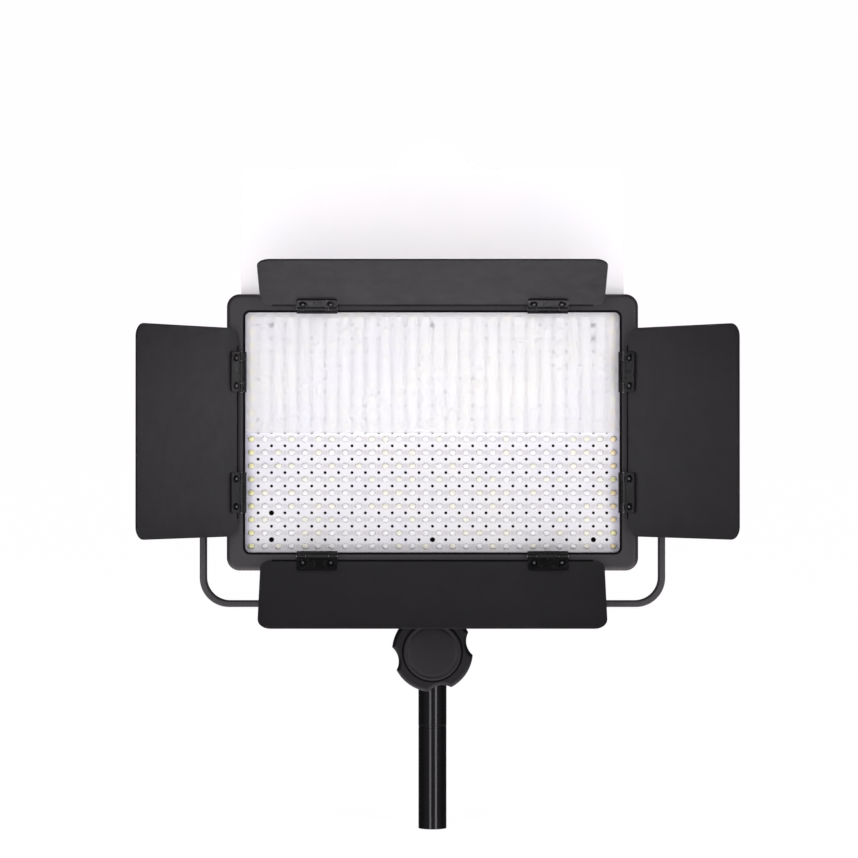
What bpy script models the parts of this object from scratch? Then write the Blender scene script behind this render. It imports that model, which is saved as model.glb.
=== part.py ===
"""An LED panel light with four barn doors, held in a yoke on the spigot of a light stand.

Metres, +Z up. The origin is the bottom centre of the stand's riser tube. The light faces -Y.
The head is laid out about its own centre, which lies on the tilt axis, TILT_Z above the origin.
"""

import math

import bmesh
import bpy
from mathutils import Matrix, Vector

GAP = 0.0003  # between pieces that touch

# Stand riser and socket, from the origin upwards
TUBE_RADIUS = 0.0115
TUBE_WALL = 0.002
TUBE_TOP = 0.083
SPIGOT_RADIUS = 0.008
SPIGOT_TOP = 0.160
SPIGOT_FLANGE = 0.0012
SOCKET_RADIUS = 0.0115
SOCKET_BLOCK_RADIUS = 0.0122
SOCKET_PAD_RADIUS = 0.0134
CLAMP_Z = 0.1465

# Yoke
TILT_Z = 0.325
ARM_X = 0.1882  # centre of an arm's thickness
STRIP = 0.005
STRIP_DEPTH = 0.020
BAR_DROP = 0.1406  # tilt axis down to the middle of the lower bar
BEND_RADIUS = 0.024  # outside of the bend
BOLT_RADIUS = 0.004

# Clamp knob
KNOB_RADIUS = 0.033
KNOB_BACK = -0.0140
KNOB_FRONT = -0.0276
CAP_RADIUS = 0.024

# Head
HEAD_WIDTH = 0.335
HEAD_HEIGHT = 0.2252
HEAD_CORNER = 0.0105
FRONT_FACE = -0.030
FRAME_BACK = -0.016
HOUSING_BACK = 0.020
WALL = 0.002
WINDOW_WIDTH = 0.305
WINDOW_HEIGHT = 0.1955
WINDOW_CORNER = 0.004
LIP_BACK = -0.0243  # rear of the lip round the window
SLOT_BACK = -0.0217  # rear of the diffuser's slot

# Diffuser
DIFFUSER_WIDTH = 0.3116
DIFFUSER_HEIGHT = 0.216
DIFFUSER_THICKNESS = 0.002
DIFFUSER_BOTTOM = -0.0005
TAB_RADIUS = 0.033
TAB_RISE = 0.022
TAB_FILLET = 0.008

# LED board
BOARD_WIDTH = 0.3064
BOARD_HEIGHT = 0.1969
LED_COLUMNS = 28
LED_ROWS = 18
LED_PITCH_X = 0.01095
LED_PITCH_Z = 0.01095
LED_RIM = 0.0009  # from the outermost LEDs' flanges to the edge of the array

# Barn doors and hinges. Their measures start at the hinge axis.
DOOR_THICKNESS = 0.0015
DOOR_START = 0.0035
SIDE_DOOR_REACH = 0.146
SIDE_DOOR_LENGTH = 0.169
SIDE_DOOR_HINGE_CORNER = 0.014
CROSS_DOOR_REACH = 0.079
CROSS_DOOR_LENGTH = 0.279
CROSS_DOOR_HINGE_CORNER = 0.009
DOOR_CORNER = 0.0105  # at the free edge
DOOR_ANGLES = {"left": 59.7, "right": 55.7, "top": 64, "bottom": 46}  # degrees forward from flat and open
HINGE_OUTSIDE_WINDOW = 0.0027  # window edge to hinge axis
SIDE_HINGE_RISE = 0.0030  # hinge axis in front of the frame
CROSS_HINGE_RISE = 0.0052  # higher, so these doors close over the side doors
SIDE_HINGE_AT = 0.049
CROSS_HINGE_AT = 0.0937
HINGE_LENGTH = 0.033
KNUCKLE_RADIUS = 0.002
KNUCKLE_LENGTH = 0.0071
PIN_RADIUS = 0.0008
LEAF_REACH = 0.015
LEAF_THICKNESS = 0.0009

# Back panel
PANEL_BACK = 0.0223
PANEL_CENTRE_Z = -0.030
PANEL_WIDTH = 0.100
PANEL_HEIGHT = 0.064
DISPLAY = (-0.014, -0.013)
DIALS = {"dial_brightness": -0.030, "dial_colour": 0.030}
DIAL_Z = -0.044
DIAL_RADIUS = 0.010
BUTTONS = {"button_mode": -0.008, "button_channel": 0.008}
BUTTON_Z = -0.036
BUTTON_RADIUS = 0.0032
ROCKER_Z = -0.053
INLET = (0.034, -0.013)
BATTERY_X = 0.080
LATCH_Z = -0.024

BLACK = (0.022, 0.021, 0.023)
DARK = (0.035, 0.033, 0.036)
WHITE = (0.80, 0.80, 0.80)
STEEL = (0.45, 0.45, 0.46)
BRASS = (0.60, 0.45, 0.18)


# ---------------------------------------------------------------- tools


def clear_scene():
    for item in list(bpy.data.objects):
        bpy.data.objects.remove(item, do_unlink=True)


def new_collection(name):
    collection = bpy.data.collections.new(name)
    bpy.context.scene.collection.children.link(collection)
    return collection


def link_mesh(name, mesh, place):
    item = bpy.data.objects.new(name, mesh)
    item.matrix_world = place
    PARTS.objects.link(item)
    return item


def at(x, y, z):
    return Matrix.Translation((x, y, z))


def facing(direction):
    """Turns local +Z to one of the six directions. Towards -Y, local Y is up."""
    turns = {
        "+Z": Matrix.Identity(4),
        "-Z": Matrix.Rotation(math.pi, 4, "X"),
        "-Y": Matrix.Rotation(math.pi / 2, 4, "X"),
        "+Y": Matrix.Rotation(-math.pi / 2, 4, "X"),
        "+X": Matrix.Rotation(math.pi / 2, 4, "Y"),
        "-X": Matrix.Rotation(-math.pi / 2, 4, "Y"),
    }
    return turns[direction]


def in_head(x, y, z, direction="-Y"):
    """A place measured from the head's centre."""
    return at(x, y, TILT_Z + z) @ facing(direction)


def arc(centre, radius, start, end, steps):
    """Points along an arc, angles in degrees, both ends included."""
    points = []
    for step in range(steps + 1):
        angle = math.radians(start + (end - start) * step / steps)
        points.append((centre[0] + radius * math.cos(angle), centre[1] + radius * math.sin(angle)))
    return points


def rounded(left, right, bottom, top, radii, steps=5):
    """A rectangle with its own corner radius at each of bottom left, bottom right, top right, top left."""
    corners = [(left, bottom, 1, 1), (right, bottom, -1, 1), (right, top, -1, -1), (left, top, 1, -1)]
    points = []
    for index, ((x, y, to_x, to_y), radius) in enumerate(zip(corners, radii)):
        start = 180 + 90 * index
        points += arc((x + to_x * radius, y + to_y * radius), radius, start, start + 90, steps)
    return points


def centred(width, height, radius, steps=5):
    return rounded(-width / 2, width / 2, -height / 2, height / 2, [radius] * 4, steps)


def notched(radius, notches, chord, depth, first, steps=4):
    """A circle with round notches of the given chord and depth. first is the first notch's angle."""
    half = math.asin(chord / 2 / radius)
    floor = radius - depth
    rim_x = radius * math.cos(half)
    away = (rim_x**2 + (chord / 2) ** 2 - floor**2) / (2 * (rim_x - floor))
    bite = away - floor
    sweep = math.atan2(chord / 2, away - rim_x)
    points = []
    for index in range(notches):
        middle = math.radians(first) + 2 * math.pi * index / notches
        for step in range(-steps, steps + 1):
            angle = sweep * step / steps
            along = away - bite * math.cos(angle)
            aside = bite * math.sin(angle)
            points.append(
                (
                    along * math.cos(middle) - aside * math.sin(middle),
                    along * math.sin(middle) + aside * math.cos(middle),
                )
            )
        next_notch = middle + 2 * math.pi / notches - half
        rim = [math.degrees(middle + half), math.degrees(next_notch)]
        points += arc((0, 0), radius, rim[0], rim[1], 2 * steps)[1:-1]
    return points


def plate(name, outline, thickness, place):
    """A flat outline, in local X and Y, given a thickness centred on local Z."""
    curve = bpy.data.curves.new(name, "CURVE")
    curve.dimensions = "2D"
    curve.fill_mode = "BOTH"
    curve.extrude = thickness / 2
    spline = curve.splines.new("POLY")
    spline.points.add(len(outline) - 1)
    for point, (x, y) in zip(spline.points, outline):
        point.co = (x, y, 0, 1)
    spline.use_cyclic_u = True
    guide = bpy.data.objects.new(name + "_outline", curve)
    PARTS.objects.link(guide)
    graph = bpy.context.evaluated_depsgraph_get()
    mesh = bpy.data.meshes.new_from_object(guide.evaluated_get(graph), depsgraph=graph)
    mesh.name = name
    bpy.data.objects.remove(guide, do_unlink=True)
    shape = bmesh.new()
    shape.from_mesh(mesh)
    bmesh.ops.remove_doubles(shape, verts=shape.verts, dist=1e-6)
    bmesh.ops.dissolve_limit(
        shape, angle_limit=math.radians(0.1), verts=shape.verts, edges=shape.edges
    )
    bmesh.ops.recalc_face_normals(shape, faces=shape.faces)
    shape.to_mesh(mesh)
    shape.free()
    return link_mesh(name, mesh, place)


def cylinder(name, radius, length, place, sides=32, tip_radius=None):
    """Centred on its place, along local Z."""
    shape = bmesh.new()
    bmesh.ops.create_cone(
        shape,
        cap_ends=True,
        segments=sides,
        radius1=radius,
        radius2=radius if tip_radius is None else tip_radius,
        depth=length,
    )
    mesh = bpy.data.meshes.new(name)
    shape.to_mesh(mesh)
    shape.free()
    return link_mesh(name, mesh, place)


def block(name, size, place):
    """A box centred on its place."""
    shape = bmesh.new()
    bmesh.ops.create_cube(shape, size=1)
    bmesh.ops.scale(shape, vec=Vector(size), verts=shape.verts)
    mesh = bpy.data.meshes.new(name)
    shape.to_mesh(mesh)
    shape.free()
    return link_mesh(name, mesh, place)


def span(name, low, high, place):
    """A box from its lowest to its highest corner, in the place's own directions."""
    size = [b - a for a, b in zip(low, high)]
    middle = [(a + b) / 2 for a, b in zip(low, high)]
    return block(name, size, place @ at(*middle))


def turned(name, profile, place, sides=32):
    """Turns a profile of (radius, height) about local Z. It runs down the outside, top to bottom."""
    mesh = bpy.data.meshes.new(name)
    points = [(radius, 0, height) for radius, height in profile]
    mesh.from_pydata(points, [(i, i + 1) for i in range(len(points) - 1)], [])
    item = link_mesh(name, mesh, place)
    screw = item.modifiers.new("turn", "SCREW")
    screw.steps = sides
    screw.render_steps = sides
    screw.use_merge_vertices = True
    screw.merge_threshold = 1e-5
    return item


def round_edges(item, chosen, width, segments):
    """Rounds the edges whose middle and direction pass the test, in the item's own directions."""
    shape = bmesh.new()
    shape.from_mesh(item.data)
    edges = []
    for edge in shape.edges:
        ends = [vertex.co for vertex in edge.verts]
        if chosen((ends[0] + ends[1]) / 2, (ends[1] - ends[0]).normalized()):
            edges.append(edge)
    bmesh.ops.bevel(
        shape, geom=edges, offset=width, segments=segments, profile=0.5, affect="EDGES"
    )
    shape.to_mesh(item.data)
    shape.free()


def round_rims(item, width, segments, height=None):
    """Rounds the rims of a plate's flat faces: both, or only the one at the given local height."""

    def on_rim(middle, direction):
        at_height = height is None or abs(middle.z - height) < 1e-6
        return at_height and abs(direction.z) < 1e-3

    round_edges(item, on_rim, width, segments)


def combine(target, other, operation):
    modifier = target.modifiers.new(other.name, "BOOLEAN")
    modifier.operation = operation
    modifier.solver = "EXACT"
    modifier.object = other
    PARTS.objects.unlink(other)
    CUTTERS.objects.link(other)
    other.hide_render = True
    other.display_type = "WIRE"


def cut(target, *others):
    for other in others:
        combine(target, other, "DIFFERENCE")
    return target


def join(target, *others):
    for other in others:
        combine(target, other, "UNION")
    return target


def helpers_of(item):
    """The item and every helper that its Booleans use, and theirs."""
    found = [item]
    for modifier in item.modifiers:
        if modifier.type == "BOOLEAN":
            found += helpers_of(modifier.object)
    return found


def pivot(name, place, parent=None):
    """An empty on a joint's axis, which carries what the joint moves."""
    empty = bpy.data.objects.new(name, None)
    empty.empty_display_size = 0.02
    empty.matrix_world = place
    PARTS.objects.link(empty)
    if parent:
        attach(parent, empty)
    return empty


def attach(parent, *children):
    """Hangs pieces on a pivot and keeps them where they are."""
    bpy.context.view_layer.update()
    for child in children:
        for item in helpers_of(child):
            world = item.matrix_world.copy()
            item.parent = parent
            item.matrix_parent_inverse = parent.matrix_world.inverted()
            item.matrix_world = world


def paint(items, name, colour, roughness, metallic=0.0):
    """One material for each piece, named for what it is made of."""
    for item in items:
        material = bpy.data.materials.new(f"{name}_{item.name}")
        material.use_nodes = True
        shader = material.node_tree.nodes["Principled BSDF"]
        shader.inputs["Base Color"].default_value = (*colour, 1)
        shader.inputs["Roughness"].default_value = roughness
        shader.inputs["Metallic"].default_value = metallic
        item.data.materials.clear()
        item.data.materials.append(material)
        item.data.shade_smooth()
        item.data.set_sharp_from_angle(angle=math.radians(35))


# ---------------------------------------------------------------- stand and socket


def make_riser():
    """The tube's lower end is open. The spigot plugs its top."""
    inner = TUBE_RADIUS - TUBE_WALL
    tube = turned(
        "riser_tube",
        [(inner, TUBE_TOP), (TUBE_RADIUS, TUBE_TOP), (TUBE_RADIUS, 0), (inner, 0), (inner, TUBE_TOP)],
        at(0, 0, 0),
    )
    plug = inner - GAP
    plug_bottom = TUBE_TOP - 0.018
    flange_bottom = TUBE_TOP + GAP
    flange_top = flange_bottom + SPIGOT_FLANGE
    spigot = turned(
        "riser_spigot",
        [
            (0, SPIGOT_TOP),
            (SPIGOT_RADIUS - 0.0012, SPIGOT_TOP),
            (SPIGOT_RADIUS, SPIGOT_TOP - 0.0012),
            (SPIGOT_RADIUS, flange_top),
            (TUBE_RADIUS - 0.0004, flange_top),
            (TUBE_RADIUS - 0.0004, flange_bottom),
            (plug, flange_bottom),
            (plug, plug_bottom),
            (0, plug_bottom),
        ],
        at(0, 0, 0),
    )
    paint([tube], "gloss_paint", BLACK, 0.2, 0.4)
    paint([spigot], "steel", STEEL, 0.35, 0.9)
    return tube, spigot


def make_socket():
    """The sleeve over the spigot, its clamp boss at the front and the pad under the yoke."""
    bottom = TUBE_TOP + GAP + SPIGOT_FLANGE + GAP
    top = TILT_Z - BAR_DROP - STRIP / 2 - GAP
    pad = 0.006
    socket = turned(
        "stand_socket",
        [
            (0, top),
            (SOCKET_PAD_RADIUS, top),
            (SOCKET_PAD_RADIUS, top - pad),
            (SOCKET_BLOCK_RADIUS, top - pad - 0.003),
            (SOCKET_BLOCK_RADIUS, CLAMP_Z - 0.021),
            (SOCKET_RADIUS, CLAMP_Z - 0.024),
            (SOCKET_RADIUS, bottom + 0.0006),
            (SOCKET_RADIUS - 0.0006, bottom),
            (0, bottom),
        ],
        at(0, 0, 0),
    )
    boss_front = KNOB_BACK + 0.0004
    boss_length = 0.0085
    boss_place = at(0, boss_front + boss_length / 2, CLAMP_Z) @ facing("-Y")
    boss = cylinder("socket_boss", 0.0085, boss_length, boss_place, 24)
    bore_bottom = bottom - 0.001
    bore_top = SPIGOT_TOP + 0.003
    bore = cylinder(
        "socket_bore",
        SPIGOT_RADIUS + GAP,
        bore_top - bore_bottom,
        at(0, 0, (bore_top + bore_bottom) / 2),
    )
    shoe_hole = cylinder(
        "socket_shoe_hole", BOLT_RADIUS + GAP, 0.016, at(0, -0.012, CLAMP_Z) @ facing("-Y"), 20
    )
    bolt_hole = cylinder("socket_bolt_hole", BOLT_RADIUS + GAP, 0.016, at(0, 0, top - 0.006), 20)
    join(socket, boss)
    cut(socket, bore, shoe_hole, bolt_hole)
    paint([socket], "black_casting", BLACK, 0.35, 0.3)
    return socket


def make_socket_bolt():
    """A hexagon-headed bolt, down through the yoke's bar into the socket."""
    bar_top = TILT_Z - BAR_DROP + STRIP / 2
    head_height = 0.0053
    bolt = cylinder("socket_bolt", 0.0068, head_height, at(0, 0, bar_top + GAP + head_height / 2), 6)
    shank = cylinder("socket_bolt_shank", BOLT_RADIUS, 0.021, at(0, 0, bar_top - 0.0075), 20)
    join(bolt, shank)
    paint([bolt], "zinc_steel", STEEL, 0.35, 0.9)
    return bolt


def make_clamp():
    """Shoe, screw, knob and cap, on one axis through the socket's boss towards the front."""
    axis = at(0, 0, CLAMP_Z) @ facing("-Y")
    shoe = turned(
        "clamp_shoe",
        [(0, 0.0104), (BOLT_RADIUS, 0.0104), (BOLT_RADIUS, 0.0090), (0.0034, 0.0085), (0, 0.0085)],
        axis,
        20,
    )
    head_back = 0.0208
    screw = turned(
        "clamp_screw",
        [
            (0, 0.0249),
            (0.0066, 0.0249),
            (0.0070, 0.0245),
            (0.0070, head_back),
            (BOLT_RADIUS, head_back),
            (BOLT_RADIUS, 0.0112),
            (BOLT_RADIUS - 0.0005, 0.0107),
            (0, 0.0107),
        ],
        axis,
        20,
    )
    thickness = KNOB_BACK - KNOB_FRONT
    middle = at(0, (KNOB_BACK + KNOB_FRONT) / 2, CLAMP_Z) @ facing("-Y")
    knob = plate("clamp_knob", notched(KNOB_RADIUS, 4, 0.019, 0.0047, 11, 3), thickness, middle)
    round_rims(knob, 0.0022, 2)
    cap_seat = cylinder("knob_cap_seat", CAP_RADIUS + 0.0006, 0.0044, axis @ at(0, 0, 0.0274), 48)
    head_seat = cylinder("knob_head_seat", 0.0074, 0.0068, axis @ at(0, 0, 0.0239), 24)
    screw_hole = cylinder("knob_screw_hole", BOLT_RADIUS + GAP, 0.020, axis @ at(0, 0, 0.019), 20)
    cut(knob, cap_seat, head_seat, screw_hole)
    cap = turned(
        "clamp_knob_cap",
        [
            (0, 0.0283),
            (CAP_RADIUS * 0.72, 0.0280),
            (CAP_RADIUS - 0.0007, 0.0276),
            (CAP_RADIUS, 0.0270),
            (CAP_RADIUS, 0.0255),
            (0, 0.0255),
        ],
        axis,
        40,
    )
    paint([shoe], "brass", BRASS, 0.4, 0.9)
    paint([screw], "zinc_steel", STEEL, 0.35, 0.9)
    paint([knob, cap], "black_plastic", BLACK, 0.4)
    return shoe, screw, knob, cap


# ---------------------------------------------------------------- yoke and tilt locks


def make_yoke():
    """A flat strip bent to a U, with round ends about the tilt axis."""
    outside = ARM_X + STRIP / 2
    inside = ARM_X - STRIP / 2
    floor = -BAR_DROP - STRIP / 2
    arm_top = STRIP_DEPTH / 2
    outer = BEND_RADIUS
    inner = BEND_RADIUS - STRIP
    outline = [(-outside, arm_top)]
    outline += arc((-outside + outer, floor + outer), outer, 180, 270, 7)
    outline += arc((outside - outer, floor + outer), outer, 270, 360, 7)
    outline += [(outside, arm_top), (inside, arm_top)]
    outline += arc((inside - inner, floor + outer), inner, 360, 270, 7)
    outline += arc((-inside + inner, floor + outer), inner, 270, 180, 7)
    outline += [(-inside, arm_top)]
    yoke = plate("yoke_bar", outline, STRIP_DEPTH, in_head(0, 0, 0))

    def arm_end(middle, direction):
        return abs(middle.y - arm_top) < 1e-6 and abs(direction.x) > 0.99

    round_edges(yoke, arm_end, STRIP_DEPTH / 2 - 0.0001, 5)
    softened = yoke.modifiers.new("softened", "BEVEL")
    softened.width = 0.0009
    softened.segments = 1
    softened.limit_method = "ANGLE"
    softened.angle_limit = math.radians(50)
    for side in (-1, 1):
        place = in_head(side * ARM_X, 0, 0, "+X")
        cut(yoke, cylinder(f"arm_hole_{side}", 0.0034, 0.012, place, 20))
    cut(yoke, cylinder("bar_hole", BOLT_RADIUS + GAP, 0.012, in_head(0, 0, -BAR_DROP, "+Z"), 20))
    paint([yoke], "grey_paint", DARK, 0.4, 0.4)
    return yoke


def make_tilt_lock(side, suffix):
    """A pressure washer and a star knob with its moulded-in stud, outside one arm."""
    direction = "+X" if side > 0 else "-X"
    axis = in_head(0, 0, 0, direction)
    washer_back = ARM_X + STRIP / 2 + GAP
    washer_front = washer_back + 0.0014
    washer = turned(
        f"tilt_washer_{suffix}",
        [
            (0.0034, washer_front),
            (0.0095, washer_front),
            (0.0095, washer_back),
            (0.0034, washer_back),
            (0.0034, washer_front),
        ],
        axis,
        24,
    )
    hub_back = washer_front + GAP
    star_back = hub_back + 0.003
    star_front = star_back + 0.0125
    star = axis @ at(0, 0, (star_back + star_front) / 2)
    knob = plate(
        f"tilt_knob_{suffix}", notched(0.016, 6, 0.0085, 0.0022, 0, 2), star_front - star_back, star
    )
    round_rims(knob, 0.0015, 1)
    stem = turned(
        f"tilt_stem_{suffix}",
        [
            (0, star_back + 0.002),
            (0.008, star_back + 0.002),
            (0.008, hub_back),
            (0.003, hub_back),
            (0.003, 0.1715),
            (0.0025, 0.1710),
            (0, 0.1710),
        ],
        axis,
        20,
    )
    join(knob, stem)
    paint([washer], "zinc_steel", STEEL, 0.35, 0.9)
    paint([knob], "black_plastic", BLACK, 0.4)
    return washer, knob


# ---------------------------------------------------------------- head: shells


def make_front_frame():
    """The bezel. A lip overlaps the diffuser, which drops in through a slot in the top edge."""
    depth = FRAME_BACK - FRONT_FACE
    middle_y = (FRONT_FACE + FRAME_BACK) / 2
    outline = centred(HEAD_WIDTH, HEAD_HEIGHT, HEAD_CORNER, 6)
    frame = plate("front_frame", outline, depth, in_head(0, middle_y, 0))
    round_rims(frame, 0.004, 4, height=depth / 2)
    window = plate(
        "window_cut",
        centred(WINDOW_WIDTH, WINDOW_HEIGHT, WINDOW_CORNER, 4),
        0.020,
        in_head(0, FRONT_FACE, 0),
    )
    chamfer = 0.0010
    lip_depth = 0.004
    lip = plate(
        "lip_cut",
        centred(WINDOW_WIDTH + 2 * chamfer, WINDOW_HEIGHT + 2 * chamfer, WINDOW_CORNER + chamfer, 4),
        lip_depth,
        in_head(0, FRONT_FACE - lip_depth / 2 + chamfer, 0),
    )
    round_rims(lip, 0.0012, 1, height=-lip_depth / 2)
    slot_depth = SLOT_BACK - LIP_BACK
    slot_middle = (SLOT_BACK + LIP_BACK) / 2
    slot_half_width = DIFFUSER_WIDTH / 2 + 0.0007
    slot_bottom = -0.1025
    groove = span(
        "slot_cut",
        (-slot_half_width, slot_bottom, -slot_depth / 2),
        (slot_half_width, HEAD_HEIGHT / 2 + 0.002, slot_depth / 2),
        in_head(0, slot_middle, 0),
    )
    pocket = plate(
        "board_pocket",
        centred(BOARD_WIDTH + 2 * GAP, BOARD_HEIGHT + 2 * GAP, 0.003, 3),
        0.010,
        in_head(0, SLOT_BACK - 0.0006 + 0.005, 0),
    )
    cut(frame, groove, pocket, window, lip)
    paint([frame], "satin_black_paint", BLACK, 0.4, 0.3)
    return frame


def make_rear_housing():
    """A tray with a boss at each end for the tilt locks, vents, and holes behind the panel."""
    front = FRAME_BACK + GAP
    depth = HOUSING_BACK - front
    middle_y = (HOUSING_BACK + front) / 2
    outline = centred(HEAD_WIDTH, HEAD_HEIGHT, HEAD_CORNER, 6)
    housing = plate("rear_housing", outline, depth, in_head(0, middle_y, 0))
    round_rims(housing, 0.006, 3, height=-depth / 2)
    cavity = plate(
        "cavity",
        centred(HEAD_WIDTH - 2 * WALL, HEAD_HEIGHT - 2 * WALL, HEAD_CORNER - WALL, 6),
        depth,
        in_head(0, middle_y - WALL, 0),
    )
    round_rims(cavity, 0.005, 2, height=-depth / 2)
    cut(housing, cavity)
    boss_end = ARM_X - STRIP / 2 - GAP
    boss_start = 0.160
    for side, direction in ((-1, "-X"), (1, "+X")):
        axis = in_head(0, 0, 0, direction)
        boss = cylinder(
            f"pivot_boss_{side}",
            0.011,
            boss_end - boss_start,
            axis @ at(0, 0, (boss_end + boss_start) / 2),
            32,
        )
        bore_start = 0.1690
        bore = cylinder(
            f"pivot_bore_{side}",
            0.0033,
            0.020,
            axis @ at(0, 0, bore_start + 0.010),
            20,
        )
        join(housing, boss)
        cut(housing, bore)
    vents = vent_cutter()
    holes = [
        cylinder(f"housing_hole_{name}", 0.0033, 0.006, in_head(x, 0.019, DIAL_Z), 20)
        for name, x in DIALS.items()
    ]
    holes += [
        cylinder(f"housing_hole_{name}", BUTTON_RADIUS + GAP, 0.006, in_head(x, 0.019, BUTTON_Z), 20)
        for name, x in BUTTONS.items()
    ]
    holes.append(block("housing_rocker_hole", (0.016, 0.010, 0.006), in_head(0, 0.019, ROCKER_Z)))
    holes.append(
        cylinder("housing_inlet_hole", 0.0055, 0.006, in_head(INLET[0], 0.019, INLET[1]), 24)
    )
    cut(housing, vents, *holes)
    paint([housing], "satin_black_paint", BLACK, 0.45, 0.3)
    return housing


def vent_cutter():
    """A row of upright slots, as one mesh."""
    count = 13
    pitch = 0.007
    shape = bmesh.new()
    for index in range(count):
        x = (index - (count - 1) / 2) * pitch
        outline = centred(0.0026, 0.044, 0.00129, 2)
        front = [shape.verts.new((x + dx, dy, 0.003)) for dx, dy in outline]
        face = shape.faces.new(front)
        swept = bmesh.ops.extrude_face_region(shape, geom=[face])
        moved = [item for item in swept["geom"] if isinstance(item, bmesh.types.BMVert)]
        bmesh.ops.translate(shape, vec=(0, 0, -0.006), verts=moved)
    bmesh.ops.remove_doubles(shape, verts=shape.verts, dist=1e-7)
    bmesh.ops.recalc_face_normals(shape, faces=shape.faces)
    mesh = bpy.data.meshes.new("vent_slots")
    shape.to_mesh(mesh)
    shape.free()
    return link_mesh("vent_slots", mesh, in_head(0, 0.019, 0.048))


# ---------------------------------------------------------------- head: light and electronics


def make_light_engine():
    """From front to back: the LED array, its board and the heat spreader. Then the control board."""
    array_width = (LED_COLUMNS - 1) * LED_PITCH_X
    array_height = (LED_ROWS - 1) * LED_PITCH_Z
    edge = 0.006 + LED_RIM
    array = plate(
        "led_array",
        centred(array_width + edge, array_height + edge, 0.002, 3),
        0.0026,
        in_head(0, -0.0196, 0),
    )
    board = plate(
        "led_board", centred(BOARD_WIDTH, BOARD_HEIGHT, 0.0028, 3), 0.0016, in_head(0, -0.0172, 0)
    )
    spreader = plate("heat_spreader", centred(0.300, 0.190, 0.004, 3), 0.002, in_head(0, -0.0151, 0))
    control = plate(
        "control_board", centred(0.110, 0.060, 0.002, 3), 0.0016, in_head(0, 0.0098, PANEL_CENTRE_Z)
    )
    paint([array], "led_plastic", WHITE, 0.3)
    paint([board], "white_board", WHITE, 0.6)
    paint([spreader], "aluminium", (0.6, 0.6, 0.6), 0.4, 0.9)
    paint([control], "green_board", (0.02, 0.12, 0.05), 0.5)
    return array, board, spreader, control


def make_diffuser():
    """A sheet with a round pull tab, half pulled up through its slot."""
    half = DIFFUSER_WIDTH / 2
    top = DIFFUSER_BOTTOM + DIFFUSER_HEIGHT
    tab_centre = top + TAB_RISE - TAB_RADIUS
    fillet_z = top + TAB_FILLET
    reach = TAB_RADIUS + TAB_FILLET
    fillet_x = math.sqrt(reach**2 - (fillet_z - tab_centre) ** 2)
    lean = math.degrees(math.asin((fillet_z - tab_centre) / reach))
    sheet = rounded(-half, half, DIFFUSER_BOTTOM, top, (0.003, 0.003, 0.007, 0.007), 4)
    before_tab = 3 * 5
    tab = arc((fillet_x, fillet_z), TAB_FILLET, 270, 180 + lean, 4)
    tab += arc((0, tab_centre), TAB_RADIUS, lean, 180 - lean, 16)[1:-1]
    tab += arc((-fillet_x, fillet_z), TAB_FILLET, -lean, -90, 4)
    outline = sheet[:before_tab] + tab + sheet[before_tab:]
    middle_y = (LIP_BACK + SLOT_BACK) / 2
    diffuser = plate("diffuser", outline, DIFFUSER_THICKNESS, in_head(0, middle_y, 0))
    paint([diffuser], "opal_plastic", WHITE, 0.35)
    return diffuser


def make_control_panel():
    """The plate round the controls, with a shallow seat for the display window."""
    front = HOUSING_BACK + GAP
    thickness = PANEL_BACK - front
    panel = plate(
        "control_panel",
        centred(PANEL_WIDTH, PANEL_HEIGHT, 0.004, 4),
        thickness,
        in_head(0, (front + PANEL_BACK) / 2, PANEL_CENTRE_Z),
    )
    round_rims(panel, 0.0006, 1, height=-thickness / 2)
    holes = [
        cylinder(f"panel_hole_{name}", 0.0033, 0.006, in_head(x, 0.0215, DIAL_Z), 20)
        for name, x in DIALS.items()
    ]
    holes += [
        cylinder(f"panel_hole_{name}", BUTTON_RADIUS + GAP, 0.006, in_head(x, 0.0215, BUTTON_Z), 20)
        for name, x in BUTTONS.items()
    ]
    holes.append(block("panel_rocker_hole", (0.016, 0.010, 0.006), in_head(0, 0.0215, ROCKER_Z)))
    holes.append(
        cylinder("panel_inlet_hole", 0.0055, 0.006, in_head(INLET[0], 0.0215, INLET[1]), 24)
    )
    seat = plate(
        "display_seat",
        centred(0.0446, 0.0206, 0.0013, 3),
        0.004,
        in_head(DISPLAY[0], 0.0212 + 0.002, DISPLAY[1]),
    )
    cut(panel, seat, *holes)
    window = plate(
        "display_window",
        centred(0.044, 0.020, 0.001, 3),
        0.0012,
        in_head(DISPLAY[0], 0.0212 + GAP + 0.0006, DISPLAY[1]),
    )
    paint([panel], "black_plastic", BLACK, 0.5)
    paint([window], "display_glass", (0.01, 0.012, 0.014), 0.08)
    return panel, window


def make_dial(name, x):
    """A fluted knob on its shaft."""
    front = PANEL_BACK + GAP
    height = 0.012
    dial = plate(
        name,
        notched(DIAL_RADIUS, 10, 0.0026, 0.0006, 0, 1),
        height,
        in_head(x, front + height / 2, DIAL_Z),
    )
    round_rims(dial, 0.0008, 1, height=-height / 2)
    shaft = cylinder(f"{name}_shaft", 0.003, 0.012, in_head(x, front - 0.005, DIAL_Z), 16)
    join(dial, shaft)
    paint([dial], "black_plastic", BLACK, 0.45)
    return dial


def make_button(name, x):
    """A push button. Its axis points out of the back."""
    radius = BUTTON_RADIUS
    button = turned(
        name,
        [
            (0, 0.0241),
            (radius - 0.0006, 0.0239),
            (radius, 0.0233),
            (radius, 0.0176),
            (0, 0.0176),
        ],
        in_head(x, 0, BUTTON_Z, "+Y"),
        20,
    )
    paint([button], "grey_plastic", (0.12, 0.12, 0.13), 0.5)
    return button


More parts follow.
